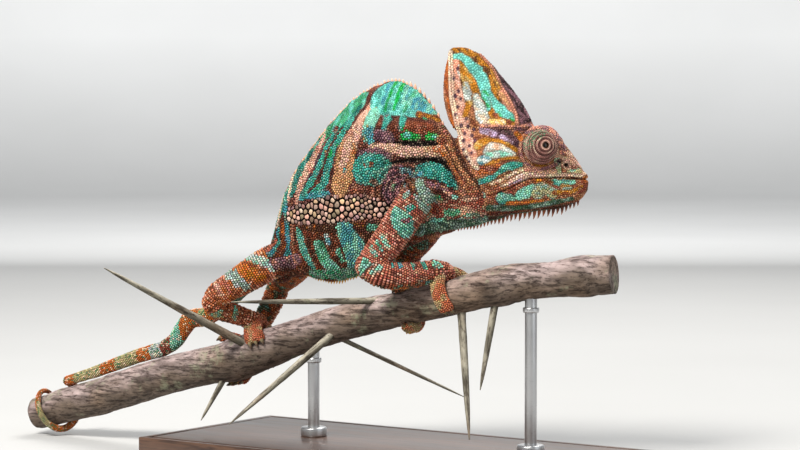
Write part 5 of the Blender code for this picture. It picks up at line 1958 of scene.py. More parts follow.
@dataclass
class Coat:
    """The scales: small domes packed over the whole skin, larger on the head and the flank's band.

    Attributes:
        anatomy: the animal's forms.
        markings: their colours.
        seed: seed of the random draws.
        shell, face_normals: the skin's surface and its faces' directions, once it is known.
        most: the most triangles in one piece.
        rounds: how often scales push each other apart.
        dome, plate, face, crown: shapes of the usual scales, the band's, the face's, and hump and casque's,
            each with its painted shade and highlight.
    """

    anatomy: Anatomy
    markings: Markings
    seed: int = 11
    shell: BVHTree | None = None
    face_normals: Array | None = None
    most: int = 196000
    rounds: int = 12
    dome: Dome = Dome(fill=0.93, shoulder=(0.76, 0.7), painted_light_tones=(0.12, 0.84, 1.24))
    plate: Dome = Dome(sides=12, fill=0.77, shoulder=(0.86, 0.85), painted_light_tones=(0.04, 1.1, 0.75))
    face: Dome = Dome(sides=8, fill=0.95, shoulder=(0.82, 0.72), painted_light_tones=(0.16, 0.9, 1.16))
    crown: Dome = Dome(fill=0.98, shoulder=(0.9, 0.75), painted_light_tones=(0.62, 1, 1.04))

    def spacing(self, spots: Spots) -> tuple[Array, Array]:
        """The distance between scales, and their height as a share of it.

        Args:
            spots: the places.

        Returns:
            Distances and heights.
        """
        size, lift = np.full(len(spots.points), 1.42), np.full(len(spots.points), 0.4)
        head = spots.on_head

        def where(chosen: Array, spacing: Array | float, height: float) -> None:
            """Sets spacing and height of the chosen places."""
            size[chosen] = spacing if np.isscalar(spacing) else spacing[chosen]
            lift[chosen] = height

        where(spots.of(Part.BODY) & (spots.station > -8), 1.36, 0.42)
        where(head, 1.3, 0.34)
        where(self.smooth(spots) & ~head, 1.15, 0.26)
        where(self.smooth(spots) & head, 1.4, 0.15)
        where(head & (spots.station > 70), 1.1, 0.32)
        strip, _ = off_path(spots.flat, np.array(SPOTTED_STRIP, float))
        where(head & (strip < 4.4), 1.05, 0.45)
        where(head & (spots.apart(Eye.station, Eye.height) < 12.5), 1.0, 0.4)
        where(head & (spots.height < 133), 1.15, 0.4)
        where(self.beaded(spots), 1.42, 0.5)
        where(self.plated(spots), 3.1 * (1 + 0.42 * noise(spots.points, 3.4, 13)), 0.12)
        where(spots.of(Part.LEG), 1.28, 0.42)
        where(spots.of(Part.FOOT), 1.15, 0.36)
        where(spots.of(Part.TAIL), np.interp(spots.along, *TAIL_SIZES), 0.4)
        return size, lift

    @staticmethod
    def smooth(spots: Spots) -> Array:
        """Where scales lie flat and close: the hump, the casque and the patch behind the eye."""
        patch = (spots.station < 54) & (spots.height > 154) & (spots.height < 171)
        body = spots.of(Part.BODY)
        return body & ((spots.height > CROWN_HEIGHT) | (spots.on_head & patch))

    @staticmethod
    def plated(spots: Spots) -> Array:
        """Where the large plates stand: the flank's band."""
        return spots.of(Part.BODY) & (plate_depth(spots) > 0) & (spots.station < 2)

    @staticmethod
    def beaded(spots: Spots) -> Array:
        """Where the scales are separate beads: the lower flank."""
        return spots.of(Part.BODY) & (spots.station < 0) & (spots.height < 124)

    def rings_of(self, line: Array, part: Part, start: float, end: float) -> list[tuple]:
        """Rings of scales round a leg or the tail.

        Args:
            line: its rows of (x, y, z, radius).
            part: what it is.
            start: distance from its root to the first ring.
            end: the last ring lies before this distance.

        Returns:
            For each ring its points, and its size, part and distance for each of them.
        """
        steps = distances_along(line)
        _, first, second = sweep_frames(line[:, :3], TAIL_SIDE)
        made, distance = [], start
        while distance < end:
            size = float(np.interp(distance, *TAIL_SIZES)) if part is Part.TAIL else 1.3
            radius = float(np.interp(distance, steps, line[:, 3]))
            middle, one, two = (
                np.array([np.interp(distance, steps, rows[:, axis]) for axis in range(3)])
                for rows in (line, first, second)
            )
            count = max(6, round(2 * math.pi * radius / size))
            points = middle + radius * circle(count, one, two, 0.5 * (len(made) % 2))
            made.append((points, *(np.full(count, value) for value in (size, part.value, distance))))
            distance += size * 0.95
        return made

    def ringed(self) -> tuple[Array, Array]:
        """Points and sizes of the scales in rings round the legs and the tail, on the skin.

        Returns:
            The points and the sizes.
        """
        anatomy, made = self.anatomy, []
        for line, name in zip(anatomy.chains, anatomy.leg_names):
            made += self.rings_of(line, Part.LEG, name[3], min(distances_along(line)[-1] - 5, 93))
        tail = anatomy.tail_line
        made += self.rings_of(tail, Part.TAIL, 9, distances_along(tail)[-1] - 0.6)
        rows, sizes, parts, places = (np.concatenate(column) for column in zip(*made))
        for index, point in enumerate(rows.tolist()):
            rows[index] = self.shell.find_nearest(point)[0]
        spots = anatomy.measure(rows)
        there = (spots.part == parts) & (abs(spots.along - places) < 2.2)
        rows, sizes = rows[there], sizes[there]
        near = nearest(rows, 4)
        crowded = np.linalg.norm(rows[near] - rows[:, None], axis=-1) < 0.62 * sizes[:, None]
        crowded &= near < np.arange(len(rows))[:, None]
        alone = ~crowded.any(axis=1)
        return rows[alone], sizes[alone]

    def head_rows(self) -> tuple[list[Array], list[float], list[float]]:
        """Points, sizes and lifts of the rows along lips, brow and casque, on the skin of both sides.

        Returns:
            The points, sizes and lifts.
        """
        made = []
        for row in HEAD_ROWS:
            line = spline(row.path, 12)
            steps = distances_along(line)
            for distance in np.arange(0, steps[-1], row.spacing):
                station, height = (np.interp(distance, steps, line[:, axis]) for axis in (0, 1))
                hits = (self.from_side(station, height, side) for side in (-1, 1))
                made += [(hit, row.spacing, row.lift) for hit in hits if hit is not None]
        return tuple(list(column) for column in zip(*made))

    def scatter(self, skin: Piece) -> tuple[Roots, Array]:
        """Starts the scales evenly over the skin, after the fixed rows of the head.

        Args:
            skin: the finished skin.

        Returns:
            The scales, and which of them stay where they are.
        """
        rng = np.random.default_rng(self.seed)
        mesh = skin.data
        mesh.calc_loop_triangles()
        corners = np.empty(len(mesh.loop_triangles) * 3, np.int32)
        mesh.loop_triangles.foreach_get("vertices", corners)
        triangles = points_of(skin)[corners.reshape(-1, 3)]
        one, other = triangles[:, 1] - triangles[:, 0], triangles[:, 2] - triangles[:, 0]
        areas = np.linalg.norm(np.cross(one, other), axis=1) / 2
        middles = triangles.mean(axis=1)
        coarse, _ = self.spacing(self.anatomy.measure(middles))
        wanted = np.cumsum(areas / (0.866 * coarse**2))
        count = int(wanted[-1])
        picks = np.searchsorted(wanted, (np.arange(count) + rng.random(count)) * wanted[-1] / count)
        picks = np.clip(picks, 0, len(areas) - 1)
        mixing = rng.dirichlet((1, 1, 1), count)
        loose = (triangles[picks] * mixing[..., None]).sum(axis=1)
        rows, row_sizes, row_lifts = self.head_rows()
        rings, ring_sizes = self.ringed()
        tree = tree_of(rings)
        clear = np.array([tree.find(point)[2] > 1.15 for point in loose.tolist()])
        loose, coarse = loose[clear], coarse[picks][clear]
        points = np.vstack([np.array(rows), rings, loose])
        sizes = np.concatenate([row_sizes, ring_sizes, coarse])
        lifts = np.concatenate([row_lifts, np.full(len(rings), 0.44), np.full(len(loose), 0.4)])
        fixed = np.arange(len(points)) < len(rows) + len(rings)
        return Roots(points, np.zeros_like(points), sizes, lifts), fixed

    def from_side(self, station: float, height: float, side: int) -> Array | None:
        """The skin's point at a station and height, met from one side.

        Args:
            station: the station.
            height: the height.
            side: -1 for the right.

        Returns:
            The point, or None past the skin.
        """
        across = self.anatomy.plan.across(station)
        start = self.anatomy.plan.place(station, side * 40, height)[0]
        hit, *_ = self.shell.ray_cast(Vector(start), Vector(-side * across), 40)
        return None if hit is None else np.array(hit)

    def settle(self, roots: Roots) -> None:
        """Puts roots back on the skin and reads the direction out of it.

        Args:
            roots: the scales, which it moves.
        """
        for index, point in enumerate(roots.points.tolist()):
            hit, _, face, _ = self.shell.find_nearest(point)
            roots.points[index] = hit
            roots.normals[index] = self.face_normals[face]
        roots.normals[:] = unit(roots.normals)

    def spread(self, roots: Roots, fixed: Array) -> None:
        """Pushes scales apart until they are evenly packed.

        Args:
            roots: the scales, which it moves.
            fixed: which of them stay.
        """
        near = nearest(roots.points, 9)
        for number in range(self.rounds):
            gaps = roots.points[:, None] - roots.points[near]
            distance = np.maximum(np.linalg.norm(gaps, axis=-1), 1e-4)
            target = (roots.sizes[:, None] + roots.sizes[near]) / 2 * 1.06
            push = gaps / distance[..., None] * (np.maximum(target - distance, 0) * 0.42)[..., None]
            move = push.sum(axis=1)
            move -= (move * roots.normals).sum(axis=1, keepdims=True) * roots.normals
            length = np.linalg.norm(move, axis=1, keepdims=True)
            move *= np.minimum(1, 0.5 / np.maximum(length, 1e-6))
            roots.points += np.where(fixed[:, None], 0, move)
            if number % 4 == 3:
                self.settle(roots)
                near = nearest(roots.points, 9)

    def kept(self, roots: Roots, spots: Spots) -> Array:
        """Scales that don't sit in the mouth line, under an eye or against the perch.

        Args:
            roots: the scales.
            spots: their places.

        Returns:
            Which scales stay.
        """
        anatomy = self.anatomy
        free = np.ones(len(roots.points), bool)
        for side in (-1, 1):
            centre = anatomy.plan.place(Eye.station, side * Eye.offset, Eye.height)[0]
            free &= np.linalg.norm(roots.points - centre, axis=1) > Eye.radius + 0.25
        mouth, _ = off_path(spots.flat, spline(MOUTH, 5))
        free &= (mouth > 0.55) | (spots.part != Part.BODY.value) | (spots.station < 44)
        free &= spots.apart(*NOSTRIL) > 0.8
        perch = np.array(anatomy.branch.line, float)
        shell, *_ = anatomy.along_line(roots.points, perch, TAIL_SIDE, 30)
        return free & (shell > 0.45)

    def chart(self, spots: Spots) -> Array:
        """Each place on an unwrap of the skin: along the body, leg or tail, and round it.

        Args:
            spots: the places.

        Returns:
            Places in 0 to 1.
        """
        top, bottom, width = self.anatomy.form.row_at(spots.station)
        rise = (spots.height - (top + bottom) / 2) / np.maximum((top - bottom) / 2, 4)
        u = (spots.station + 100) / 195
        v = 0.5 + np.arctan2(spots.offset / np.maximum(width, 3), -rise) / (2 * np.pi)
        casque = spots.on_head & (spots.height > 174)
        u = np.where(casque, 0.5 + 0.24 * np.sign(spots.offset) + (spots.station - 38) / 110, u)
        v = np.where(casque, (spots.height - 170) / 45, v)
        turned = 0.5 + spots.turn / 360
        limb = spots.of(Part.LEG)
        u = np.where(limb, (spots.leg + spots.along / 100) / 4, u)
        tail = spots.of(Part.TAIL)
        u = np.where(tail, spots.along / 300, u)
        v = np.where(limb | tail, turned, v)
        foot = spots.of(Part.FOOT)
        turn = np.degrees(np.arctan2(spots.points[:, 2] - 80, spots.points[:, 1]))
        u = np.where(foot, 0.03 + spots.along / 40 * 0.94, u)
        v = np.where(foot, 0.5 + (turn / 6 + spots.turn * 2) / 800, v)
        return 0.004 + 0.992 * np.clip(np.column_stack([u, v]), 0, 1)

    def regions(self, spots: Spots) -> dict[str, Array]:
        """Named groups of scales, each one piece.

        Args:
            spots: the scales' places.

        Returns:
            For each name, which scales it has.
        """
        left = spots.offset > 0
        body, head, flat = spots.of(Part.BODY), spots.on_head, self.smooth(spots)
        groups = {}
        for side, mine in (("right", ~left), ("left", left)):
            groups[f"casque_{side}"] = head & flat & mine
            groups[f"face_{side}"] = head & ~flat & mine
            groups[f"hump_{side}"] = body & ~head & flat & mine
            groups[f"flank_{side}"] = body & ~head & ~flat & mine
        for number, (upper, *_) in enumerate(self.anatomy.leg_names):
            limb = spots.leg == number
            name = upper.replace("upper_arm", "foreleg").replace("thigh", "hindleg")
            groups[name] = limb & spots.of(Part.LEG)
            groups[name.replace("leg", "foot")] = limb & spots.of(Part.FOOT)
        groups["tail"] = spots.of(Part.TAIL)
        return groups

    def build(self, skin: Piece, finish: PaintedFinish) -> list[Piece]:
        """Packs the scales and makes them, region by region.

        Args:
            skin: the finished skin they stand on.
            finish: their material.

        Returns:
            The pieces.
        """
        self.shell = surface_of(skin)
        corners = [(*face.vertices, face.vertices[0])[:4] for face in skin.data.polygons]
        self.face_normals = normals_of(skin)[np.array(corners)].mean(axis=1)
        roots, fixed = self.scatter(skin)
        self.settle(roots)
        self.spread(roots, fixed)
        spots = self.anatomy.measure(roots.points)
        sizes, lifts = self.spacing(spots)
        roots.sizes[~fixed], roots.lifts[~fixed] = sizes[~fixed], lifts[~fixed]
        roots = roots.part_of(self.kept(roots, spots))
        roots.meet(10)
        spots = self.anatomy.measure(roots.points)
        odd = np.random.default_rng(self.seed + 1).random(len(roots.points))
        colours = self.markings.colours(spots, odd)
        charted = self.chart(spots)
        large = self.plated(spots)
        beads = self.beaded(spots)
        pieces = []
        shapes = {"face": self.face, "casque": self.crown, "hump": self.crown}
        for region, chosen in self.regions(spots).items():
            small = shapes.get(region.split("_")[0], self.dome)
            kinds = (("plates", self.plate, chosen & large), ("scales", small, chosen & ~large))
            for kind, dome, some in kinds:
                numbers = np.flatnonzero(some)
                numbers = numbers[np.argsort(spots.station[numbers], kind="stable")]
                groups = np.array_split(numbers, len(numbers) // (self.most // (4 * dome.sides - 2)) + 1)
                for part, group in enumerate(groups, 1):
                    if not len(group):
                        continue
                    some = roots.part_of(group)
                    some.fills = np.where(beads[group], 0.8, dome.fill)
                    obj = dome.build(f"{kind}_{region}_{part}", some, colours[group])
                    if dome in (self.face, self.crown):
                        places = self.anatomy.measure(points_of(obj))
                        fine = self.markings.colours(places, np.repeat(odd[group], dome.points))
                        # the finely painted scales also take the painted shade at their feet and the painted
                        # highlight higher up
                        paint(obj, fine * dome.shading(len(group)))
                    bake_map(obj, charted[group], np.full(len(group), dome.corners))
                    pieces.append(dress(obj, finish, "skin"))
        return pieces


# ---------------------------------------------------------------- crests and claws


@dataclass(frozen=True)
class Spine:
    """One pointed scale: its root, the way it points, the way it leans, its height and radius."""

    root: Array
    way: Array
    lean: Array
    height: float
    radius: float
    foot: Hue
    tip: Hue


@dataclass
class Crests:
    """The saw of pointed scales along the back, below the chin and throat, and along the belly.

    Attributes:
        anatomy: the animal's forms.
        back: rows of (station, height, spacing).
        throat: rows of (station, height, spacing), from the chin backwards.
        belly: the same along the belly.
    """

    anatomy: Anatomy
    back: Rows = (
        (-93, 1.1, 1.9), (-60, 1.3, 2.1), (-24, 1.5, 2.1), (-6, 1.7, 2.1), (0, 2.7, 2.5), (11, 2.7, 2.5),
        (15, 1.5, 2),
    )
    throat: Rows = (
        (8, 1.1, 1.3), (16, 1.3, 1.4), (26, 1.8, 1.6), (38, 2.6, 1.8), (48, 3.5, 2.1), (58, 4.2, 2.4),
        (68, 4.1, 2.3), (76, 3.5, 2), (84, 2.4, 1.7),
    )
    belly: Rows = ((-68, 1, 1.6), (-56, 1.8, 1.8), (-40, 1.9, 1.8), (-26, 1.4, 1.6), (-2, 1.1, 1.5))
    profile: Rows = ((-0.3, 1.15, 0), (0.05, 1, 0), (0.4, 0.72, 0.05), (0.75, 0.38, 0.13), (0.94, 0.16, 0.2))
    sides: int = 8

    def spines(self, shell: BVHTree, rows: Rows, above: bool, hues: tuple[Hue, Hue, Hue]) -> list[Spine]:
        """Spines along the midline, met from above or below.

        Args:
            shell: the skin's surface.
            rows: rows of (station, height, spacing).
            above: whether they stand on the back.
            hues: colours of foot, tip and chin.

        Returns:
            The spines.
        """
        made, station = [], rows[0][0]
        while station <= rows[-1][0]:
            height, spacing = (float(np.interp(station, *pair)) for pair in columns(rows))
            start = self.anatomy.plan.place(station, 0, 240 if above else 60)[0]
            hit, normal, *_ = shell.ray_cast(Vector(start), Vector((0, 0, -1 if above else 1)), 200)
            if hit is not None:
                heading = self.anatomy.plan.across(station)
                back = np.array((-heading[1], heading[0], 0))
                lift = np.array((0, 0, 1.0 if above else -1.0))
                way = unit(lift + 0.5 * np.array(normal))
                foot = hues[2] if station > 68 else hues[0]
                wobble = 1 + 0.14 * math.sin(station * 7.3)
                made.append(Spine(np.array(hit), way, back, height * wobble, spacing * 0.44, foot, hues[1]))
            station += spacing
        return made

    def tail_spines(self, shell: BVHTree) -> list[Spine]:
        """Small spines along the upper side of the tail's root.

        Args:
            shell: the skin's surface.

        Returns:
            The spines.
        """
        made = []
        line = self.anatomy.tail_line
        for index in range(3, 26):
            x, y, z, _ = line[index]
            hit, normal, *_ = shell.ray_cast(Vector((x + 2, y, z + 14)), Vector((0, 0, -1)), 40)
            if hit is not None and hit.z > z - 1:
                height = 1.1 - 0.03 * index
                lean = np.array((-1.0, 0, 0))
                made.append(Spine(np.array(hit), np.array(normal), lean, height, 0.7, Hue.OLIVE, Hue.CREAM))
        return made

    def build_one(self, name: str, spines: list[Spine], finish: PaintedFinish) -> Piece:
        """Joins spines into one mesh with their colours and map.

        Args:
            name: the piece's name.
            spines: the spines.
            finish: their material.

        Returns:
            The dressed piece.
        """
        count, sides = len(self.profile), self.sides
        pattern = rings_to_faces(count, sides, closed_ends=False) + [tuple(range(sides))[::-1]]
        top = (count - 1) * sides
        pattern += [(top + side, top + (side + 1) % sides, count * sides) for side in range(sides)]
        points, colours, faces = [], [], []
        for number, spine in enumerate(spines):
            first = unit(np.cross(spine.way, spine.lean))
            around = circle(sides, 0.72 * first, np.cross(spine.way, first)) * spine.radius
            for share, width, lean in self.profile:
                centre = spine.root + spine.height * (spine.way * share + spine.lean * lean)
                points.append(centre + around * width)
                mixed = spine.foot.linear + (spine.tip.linear - spine.foot.linear) * max(share, 0) ** 1.6
                colours.append(tiled(mixed, sides))
            points.append((spine.root + spine.height * (spine.way + 0.24 * spine.lean))[None])
            colours.append(spine.tip.linear[None] * 1.05)
            start = number * (count * sides + 1)
            faces += [tuple(start + corner for corner in face) for face in pattern]
        obj = mesh_from(name, np.vstack(points), faces)
        shade = 1 + 0.15 * noise(np.vstack(points), 1.5, 41)
        paint(obj, np.vstack(colours) * shade[:, None])
        corners = sum(len(face) for face in faces) // len(spines)
        roots = np.array([spine.root for spine in spines])
        share = np.clip((roots[:, 0] + 150) / 250, 0.02, 0.98)
        places = np.column_stack([share, 0.3 + 0.4 * (roots[:, 2] > 140)])
        bake_map(obj, places, np.full(len(spines), corners))
        return dress(obj, finish, "skin")

    def build(self, shell: BVHTree, finish: PaintedFinish) -> list[Piece]:
        """Makes all the crests over the skin.

        Args:
            shell: the skin's surface.
            finish: their material.

        Returns:
            The three pieces.
        """
        pale = (Hue.PINK, Hue.CREAM, Hue.BEIGE)
        gold = (Hue.RUST, Hue.TAN, Hue.MAROON)
        sets = {
            "dorsal_crest": self.spines(shell, self.back, True, pale) + self.tail_spines(shell),
            "gular_crest": self.spines(shell, self.throat, False, gold),
            "ventral_crest": self.spines(shell, self.belly, False, (Hue.OCHRE, Hue.BUTTER, Hue.OCHRE)),
        }
        return [self.build_one(name, spines, finish) for name, spines in sets.items()]


@dataclass
class Claws:
    """Twenty curved claws, apart from the skin."""

    anatomy: Anatomy
    length: float = 4.5
    # (share of the length, how far it curls in, radius)
    profile: Rows = (
        (-0.35, 0, 1.15), (0, 0, 1.35), (0.2, 0.04, 1.22), (0.45, 0.3, 0.98), (0.7, 0.66, 0.72),
        (0.9, 1, 0.46), (1.02, 1.24, 0.2),
    )

    def one(self, claw: Claw, number: int) -> Piece:
        """A curved, tapering claw.

        Args:
            claw: the claw's place.
            number: its number on the foot.

        Returns:
            The claw.
        """
        rows = [
            (*(claw.root + claw.way * self.length * share + claw.inward * curl), radius)
            for share, curl, radius in self.profile
        ]
        return tube(f"claw_{number}", domed(spline(rows, 3), start=False), 14, claw.inward)

    def build(self, finish: PaintedFinish) -> list[Piece]:
        """One piece of five claws for each foot.

        Args:
            finish: their material.

        Returns:
            The four pieces.
        """
        made = []
        for _, _, foot, _ in self.anatomy.leg_names:
            claws = [claw for _, claw in self.anatomy.legs.digits(foot, self.anatomy.branch)]
            piece = joined(f"claws_{foot}", [self.one(claw, number) for number, claw in enumerate(claws)])
            points = points_of(piece)
            roots = np.array([claw.root for claw in claws])
            away = np.linalg.norm(points[:, None] - roots[None], axis=-1).min(axis=1)
            colours = tiled(Hue.OLIVE.linear * 0.55, len(points))
            blend(colours, Hue.UMBER.linear * 0.8, step_between(0.5, self.length, away))
            paint(piece, colours)
            made.append(dress(piece, finish, "claw"))
        return made


# ---------------------------------------------------------------- eyes


@dataclass
class Eye:
    """An eye: a cone of fused, granular lids with a pinhole, and the ball inside it.

    Attributes:
        plan: bends the straight animal.
        side: -1 for the animal's right.
        station, height, offset: the turret's centre on the straight animal.
        radius: the turret's radius.
        squash: its depth as a share of that.
        forward: degrees that the gaze is turned ahead.
        hole: radius of the pinhole.
        ball_radius, ball_out: the ball's radius, and its centre's distance out of the turret's.
    """

    plan: PlanCurve
    side: int
    station: float = 65
    height: float = 162.6
    offset: float = 9.4
    radius: float = 8
    squash: float = 0.93
    forward: float = 25
    upward: float = 8
    hole: float = 1.5
    ball_radius: float = 4.6
    ball_out: float = 2.24
    sides: int = 96
    ridge: float = 0.48
    ridge_period: float = 2.1
    # the pinhole's lip and the cup behind it: (past the hole's radius, out from the rim), then its floor
    cup: Rows = ((0.2, 0.14), (0.02, 0.06), (-0.04, -0.14), (0.1, -0.5), (0.9, -0.95), (2, -1.7), (2.6, -3.6))
    floor: Rows = ((5.6, 0.2), (6.6, -2.2))

    @property
    def name(self) -> str:
        """The side's name."""
        return "left" if self.side > 0 else "right"

    @cached_property
    def centre(self) -> Array:
        """The turret's centre."""
        return self.plan.place(self.station, self.side * self.offset, self.height)[0]

    @cached_property
    def axes(self) -> tuple[Array, Array, Array]:
        """Out of the eye, ahead and up.

        Returns:
            The three directions.
        """
        across = self.plan.across(self.station) * self.side
        ahead = np.array((abs(across[1]), -across[0] * np.sign(across[1]), 0))
        turn = math.radians(self.forward)
        level = unit(across * math.cos(turn) + ahead * math.sin(turn))
        lift = math.radians(self.upward)
        gaze = level * math.cos(lift) + np.array((0, 0, math.sin(lift)))
        up = np.array((0, 0, math.cos(lift))) - level * math.sin(lift)
        return gaze, unit(np.cross(gaze, up)) * self.side, up

    def profile(self) -> Array:
        """Rows of (radius off the axis, distance out) from the turret's base over the rim into the cup.

        Returns:
            The rows.
        """
        rows = []
        for degrees in np.linspace(-24, 90, 60):
            polar = math.radians(degrees)
            off, out = self.radius * math.cos(polar), self.radius * self.squash * math.sin(polar)
            if off < self.hole + 0.35:
                break
            arc = self.radius * math.radians(90 - degrees)
            swell = self.ridge * math.cos(2 * math.pi * arc / self.ridge_period)
            swell *= min(1, (off - self.hole) / 1.2)
            cone = 0.35 * max(0, 1 - off / 4.2)
            rows.append((off + swell * math.cos(polar), out + swell * math.sin(polar) + cone))
        last = rows[-1][1]
        rows += [(self.hole + off, last + out) for off, out in self.cup]
        return np.array([*rows, *self.floor])

    def turn_points(self, profile: Array) -> Array:
        """Points of a turned shape about the eye's axis.

        Args:
            profile: rows of (radius off the axis, distance out).

        Returns:
            The points, ring by ring.
        """
        gaze, ahead, up = self.axes
        off, out = profile.T[:, :, None, None]
        return (self.centre + off * circle(self.sides, ahead, up) + out * gaze).reshape(-1, 3)

    def off_axis(self, points: Array) -> tuple[Array, Array, Array]:
        """Each point's gap from the centre, the part of it across the gaze, and that part's length."""
        gap = points - self.centre
        away = gap - np.outer(gap @ self.axes[0], self.axes[0])
        return gap, away, np.linalg.norm(away, axis=1)

    def crumpled(self, points: Array) -> Array:
        """The lids' points with their rings bent out of round, except at the hole and the base.

        Args:
            points: the lids' points.

        Returns:
            The moved points.
        """
        gap, away, off = self.off_axis(points)
        share = step_between(self.hole + 0.5, self.hole + 2, off) * step_between(8, 6.8, off)
        share *= gap @ self.axes[0] > 0
        return points + away * (0.5 * noise(points, 5, 71) * share / np.maximum(off, 0.1))[:, None]

    def hues(self, points: Array, odd: Array) -> Array:
        """Mauve-brown lids with rings of painted highlight and painted shade, green flecks above and behind,
        and a rusty lower side.

        Args:
            points: the lids' points.
            odd: a random number for each.

        Returns:
            Linear colours.
        """
        _, ahead, up = self.axes
        gap, _, off = self.off_axis(points)
        colours = tiled(Hue.MAUVE.linear * 0.5 + Hue.PINK.linear * 0.4, len(points))
        arc = self.radius * np.arcsin(np.clip(off / self.radius, 0, 1)) + 0.8 * noise(points, 5, 72)
        streak = noise(np.column_stack([off / 0.8, np.arctan2(gap @ up, gap @ ahead) * 1.6, 0 * off]), 1, 52)
        # the rings: cream on the ridges and maroon in the grooves, a painted highlight and painted shade that
        # follow the lids' folds, broken up by streaks
        crest = 0.5 + 0.5 * np.cos(2 * np.pi * arc / self.ridge_period)
        blend(colours, Hue.CREAM, step_between(0.6, 0.95, crest) * step_between(-0.3, 0.3, streak) * 0.85)
        groove = step_between(0.62, 0.15, crest)
        blend(colours, Hue.MAROON.linear * 0.75, groove * 0.75 * step_between(-0.7, 0.2, -streak))
        rear = (gap @ up * 0.8 - gap @ ahead * 0.6) / self.radius
        green = step_between(0.25, 0.6, rear) * (odd < 0.55) * step_between(3, 4.2, off)
        blend(colours, Hue.SEA_GREEN, green * 0.75)
        blend(colours, Hue.RUST, step_between(0.3, 0.8, -rear) * (odd < 0.6) * 0.35)
        blend(colours, Hue.BLUSH, step_between(self.hole + 1.1, self.hole + 0.6, off) * 0.85)
        # painted shade on the inner wall of the pinhole
        blend(colours, Hue.PLUM.linear * 0.4, step_between(self.hole + 0.35, self.hole - 0.05, off))
        return colours * (1 + 0.2 * noise(points, 0.9, 51))[:, None]

    def granules(self, profile: Array) -> Roots:
        """Small scales in rings over the lids.

        Args:
            profile: the lids' outer profile.

        Returns:
            The scales.
        """
        gaze, ahead, up = self.axes
        steps = distances_along(profile)
        points, normals, sizes = [], [], []
        for ring, distance in enumerate(np.arange(1.2, steps[-1] - 0.5, 0.82)):
            off, out = (float(np.interp(distance, steps, profile[:, k])) for k in (0, 1))
            size = float(np.interp(off, (2, 5, 8), (0.62, 0.85, 0.95)))
            count = max(8, round(2 * math.pi * off / size))
            around = circle(count, ahead, up, 0.5 * (ring % 2))
            points.append(self.centre + off * around + out * gaze)
            normals.append(unit(off * around / self.radius + out * gaze / self.radius / self.squash))
            sizes.append(np.full(count, size))
        sizes = np.concatenate(sizes)
        roots = Roots(self.crumpled(np.vstack(points)), np.vstack(normals), sizes, np.full(len(sizes), 0.38))
        roots.meet(9)
        return roots

    def build_turret(self, finish: PaintedFinish) -> Piece:
        """The lids with their granules, as one piece.

        Args:
            finish: their material.

        Returns:
            The dressed piece.
        """
        profile = self.profile()
        faces = rings_to_faces(len(profile), self.sides)
        lids = mesh_from(f"eye_lids_{self.name}", self.crumpled(self.turn_points(profile)), faces)
        points = points_of(lids)
        # painted shade between the granules: the lids under them are painted at half brightness
        paint(lids, self.hues(points, np.full(len(points), 0.9)) * 0.5)
        outer = profile[: int(np.argmax(profile[:, 1])) + 1]
        roots = self.granules(outer)
        odd = np.random.default_rng(61).random(len(roots.points))
        # the granules take the dome's painted shade at their feet and painted highlight on their tops
        grains = Dome().build("eye_grains", roots, self.hues(roots.points, odd))
        piece = joined(f"eye_lids_{self.name}", [lids, grains])
        face_outward(piece)
        return dress(piece, finish, "eye_lid", f"eye_turret_{self.name}")

    def build_ball(self, finish: PaintedFinish) -> Piece:
        """The ball with a dark pupil, a thin bright ring and a dark iris.

        Args:
            finish: its material.

        Returns:
            The dressed piece.
        """
        gaze = self.axes[0]
        rows = [
            (self.ball_radius * math.sin(a), self.ball_out + self.ball_radius * math.cos(a))
            for a in np.linspace(0.01, math.pi - 0.01, 72)
        ]
        faces = rings_to_faces(len(rows), self.sides)
        piece = mesh_from(f"eye_ball_{self.name}", self.turn_points(np.array(rows)), faces)
        face_outward(piece)
        gap, _, off = self.off_axis(points_of(piece))
        off += 9 * (gap @ gaze < self.ball_out)
        colours = tiled(Hue.SOOT.linear * 0.35, len(off))
        ring = step_between(0.98, 1.08, off) * step_between(1.5, 1.34, off)
        blend(colours, Hue.OCHRE.linear * 0.4, ring * 0.4)
        blend(colours, Hue.UMBER.linear * 0.7, step_between(1.5, 1.7, off))
        paint(piece, colours)
        return dress(piece, finish, "eye", f"eyeball_{self.name}")


# ---------------------------------------------------------------- finishes


